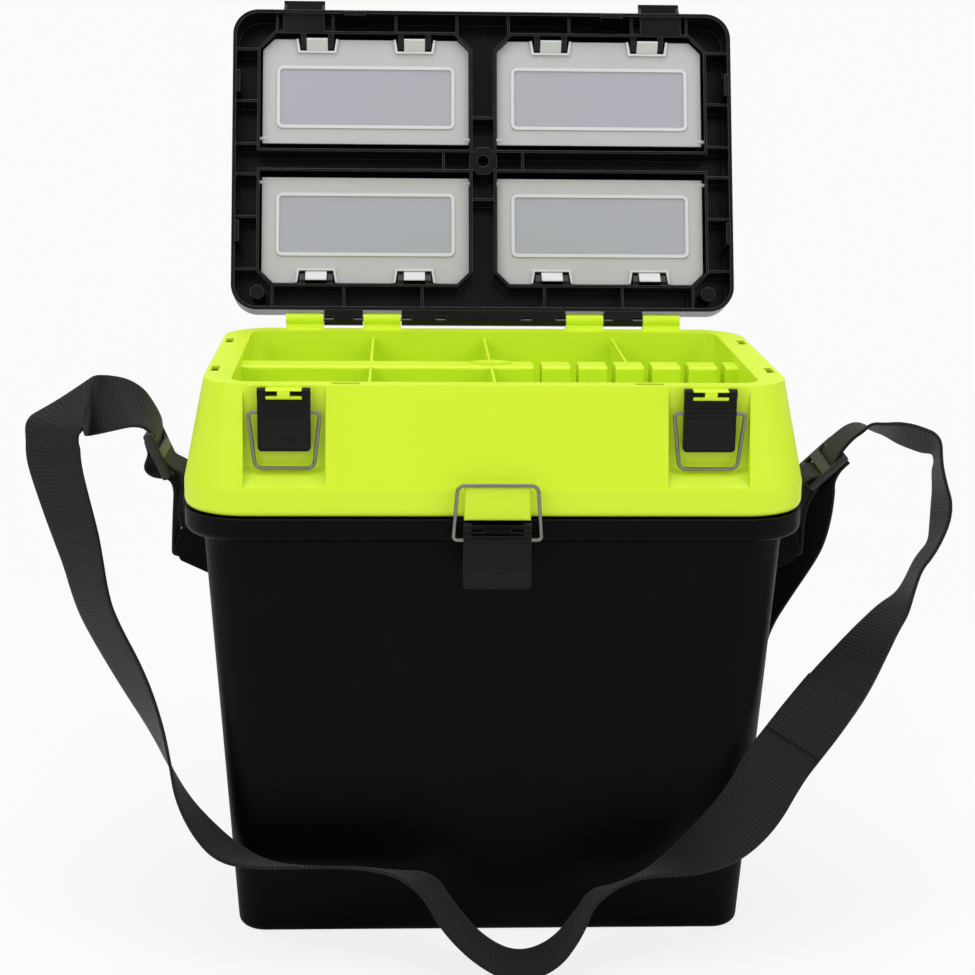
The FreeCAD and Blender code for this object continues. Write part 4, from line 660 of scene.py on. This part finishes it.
    def build(self) -> None:
        """Make every piece of the strap and seat it on the bucket in place of its solid."""
        made: dict[str, bpy.types.Object] = {}
        for slide, node in zip(self.slides, ("strap_slide_left", "strap_slide_right")):
            made[node] = slide.build()
            self.finish(made[node], node, "black_slide")
        for name, route, node in (("webbing_loop_left", self.left_loop, "strap_anchor_left"),
                                  ("webbing_loop_right", self.right_loop, "strap_anchor_right")):
            made[name] = self.loop(name, route).build()
            self.finish(made[name], node)
        sling = Webbing("webbing_sling", self.sling_route)
        sling.trace()
        made["sling"] = sling.build()
        self.finish(made["sling"], "strap_sling")
        rows = sling.rows_per_station
        overlap = sling.build(-self.ply_mm, self.overlap_from * rows, self.overlap_to * rows)
        overlap.name = "webbing_overlap"
        self.finish(overlap, "strap_overlap")
        tail = Webbing("webbing_tail", self.tail_route)
        tail.trace()
        made["tail"] = tail.build()
        self.finish(made["tail"], "strap_tail")
        LOG.info("strap: sling %.3f m, tail %.3f m", sling.length(), tail.length())

    def finish(self, piece: bpy.types.Object, node: str, slot: str = "black_webbing") -> None:
        """Seat a piece of the strap on the bucket in place of its solid.

        Args:
            piece: the modelled piece.
            node: the CAD node that it replaces.
            slot: not used.
        """
        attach(piece, "bucket")
        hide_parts(node)


@dataclass
class Box:
    """The rigid box: which CAD node has which finish."""

    finishes: dict[str, Finish] = field(default_factory=lambda: {
        "bucket": Finish.BLACK_BUCKET, "tray": Finish.LIME, "seat_lid": Finish.BLACK_LID,
        "bay_cover_upper_left": Finish.COVER, "bay_cover_upper_right": Finish.COVER,
        "bay_cover_lower_left": Finish.COVER, "bay_cover_lower_right": Finish.COVER,
        "latch_bracket_center": Finish.BLACK_BUCKET, "strap_lug_left": Finish.BLACK_BUCKET,
        "strap_lug_right": Finish.BLACK_BUCKET, "latch_bracket_left": Finish.LIME,
        "latch_bracket_right": Finish.LIME, "closing_tongue": Finish.LIME,
        "lid_hinge_pin_left": Finish.PIN, "lid_hinge_pin_right": Finish.PIN,
        "tray_hinge_pin_left": Finish.PIN, "tray_hinge_pin_right": Finish.PIN,
        "latch_lever_left": Finish.BLACK_LEVER, "latch_lever_right": Finish.BLACK_LEVER,
        "latch_lever_center": Finish.BLACK_LEVER,
        "latch_bail_left": Finish.WIRE, "latch_bail_right": Finish.WIRE, "latch_bail_center": Finish.WIRE,
    })

    def build(self, frame: dict) -> None:
        """Dress every rigid node.
        """
        for name, finish in self.finishes.items():
            dress(frame["nodes"][name], finish)
        LOG.info("box: %d nodes dressed", len(self.finishes))


@dataclass
class Studio:
    """Floor, world, lamps and the camera at the photograph's place."""

    camera_place: tuple[float, float, float] = (-0.05676, -1.30045, 0.58417)
    pitch: float = 0.23386
    yaw: float = -0.04296
    roll: float = -0.01131
    focal_px: float = 2036.2
    frame_px: float = 975.0
    sensor_mm: float = 36.0
    sky: float = 0.5
    white: str = "fafafa"
    floor_white_near: float = 0.85
    floor_near_m: float = 0.35
    floor_far_m: float = 1.1
    floor_half_m: float = 6.0
    floor_roughness: float = 0.9
    floor_specular: float = 0.1
    lamp_aim: tuple[float, float, float] = (0.0, 0.0, 0.3)
    lamps: tuple[tuple[str, tuple[float, float, float], float, float], ...] = (
        ("key_left", (-1.5, -1.3, 1.6), 1.6, 19.5),
        ("key_right", (1.6, -1.2, 1.5), 1.6, 16.5),
        ("top", (0.0, 0.2, 2.2), 1.8, 27.0),
    )

    def build(self) -> None:
        """Set up the studio."""
        self.camera()
        self.floor()
        self.world()
        for lamp in self.lamps:
            self.lamp(*lamp)
        bpy.context.scene.view_settings.view_transform = "Standard"
        LOG.info("studio ready")

    def camera(self) -> None:
        """Place the camera from its pitch, yaw and roll."""
        ahead = Vector((-math.sin(self.yaw), math.cos(self.yaw), 0))
        right = Vector((math.cos(self.yaw), math.sin(self.yaw), 0))
        forward = ahead * math.cos(self.pitch) - Vector((0, 0, math.sin(self.pitch)))
        up = ahead * math.sin(self.pitch) + Vector((0, 0, math.cos(self.pitch)))
        turned_right = right * math.cos(self.roll) - up * math.sin(self.roll)
        turned_up = right * math.sin(self.roll) + up * math.cos(self.roll)
        data = bpy.data.cameras.new("camera")
        data.sensor_width = self.sensor_mm
        data.lens = self.focal_px * self.sensor_mm / self.frame_px
        camera = bpy.data.objects.new("camera", data)
        turn = Matrix((turned_right, turned_up, -forward)).transposed()
        camera.matrix_world = Matrix.Translation(Vector(self.camera_place)) @ turn.to_4x4()
        bpy.context.scene.collection.objects.link(camera)
        bpy.context.scene.camera = camera

    def floor(self) -> None:
        """Pale floor with a soft shadow near the box, which turns into the white backdrop farther out."""
        mesh = bmesh.new()
        bmesh.ops.create_grid(mesh, x_segments=2, y_segments=2, size=self.floor_half_m)
        floor = mesh_object("floor", mesh)
        material, tree, shader = new_material("pale_studio_floor")
        shader.inputs["Base Color"].default_value = linear(self.white)
        shader.inputs["Roughness"].default_value = self.floor_roughness
        shader.inputs["Specular IOR Level"].default_value = self.floor_specular
        place = add_node(tree, "TexCoord").outputs["Object"]
        away = add_node(tree, "VectorMath", {0: place}, operation="LENGTH")
        share = add_node(tree, "MapRange", {"Value": away.outputs["Value"], "From Min": self.floor_near_m,
                                            "From Max": self.floor_far_m, "To Min": self.floor_white_near,
                                            "To Max": 1.0}, interpolation_type="SMOOTHSTEP")
        path = add_node(tree, "LightPath")
        seen = add_node(tree, "Math", {0: path.outputs["Is Camera Ray"], 1: path.outputs["Is Transmission Ray"]},
                        operation="MAXIMUM")
        level = add_node(tree, "Math", {0: seen.outputs[0], 1: share.outputs["Result"]}, operation="MULTIPLY")
        backdrop = add_node(tree, "Emission", {"Color": linear(self.white), "Strength": 1.0})
        mixed = add_node(tree, "MixShader", {0: level.outputs[0], 1: shader.outputs["BSDF"],
                                             2: backdrop.outputs["Emission"]})
        output = next(node for node in tree.nodes if node.type == "OUTPUT_MATERIAL")
        tree.links.new(mixed.outputs["Shader"], output.inputs["Surface"])
        floor.data.materials.append(material)

    def world(self) -> None:
        """White for the camera, and a softer level for the light it gives."""
        world = bpy.data.worlds.new("studio")
        bpy.context.scene.world = world
        world.use_nodes = True
        tree = world.node_tree
        tree.nodes.clear()
        path = add_node(tree, "LightPath")
        level = add_node(tree, "MapRange", {"Value": path.outputs["Is Camera Ray"], "To Min": self.sky, "To Max": 1.0})
        background = add_node(tree, "Background", {"Color": linear(self.white), "Strength": level.outputs["Result"]})
        add_node(tree, "OutputWorld", {"Surface": background.outputs["Background"]})

    def lamp(self, name: str, place: tuple[float, float, float], size: float, watts: float) -> None:
        """Square soft lamp aimed at the middle of the box.

        Args:
            name: the lamp's name.
            place: where it hangs, in metres.
            size: its side, in metres.
            watts: its power.
        """
        data = bpy.data.lights.new(name, "AREA")
        data.size = size
        data.energy = watts
        lamp = bpy.data.objects.new(name, data)
        lamp.location = place
        lamp.rotation_euler = (Vector(self.lamp_aim) - Vector(place)).to_track_quat("-Z", "Y").to_euler()
        bpy.context.scene.collection.objects.link(lamp)


def main() -> None:
    """Build the studio, the strap and the box."""
    logging.basicConfig(level=logging.INFO, format="%(name)s: %(message)s")
    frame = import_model()
    Studio().build()
    ShoulderStrap().build()
    Box().build(frame)


if __name__ == "__main__":
    main()
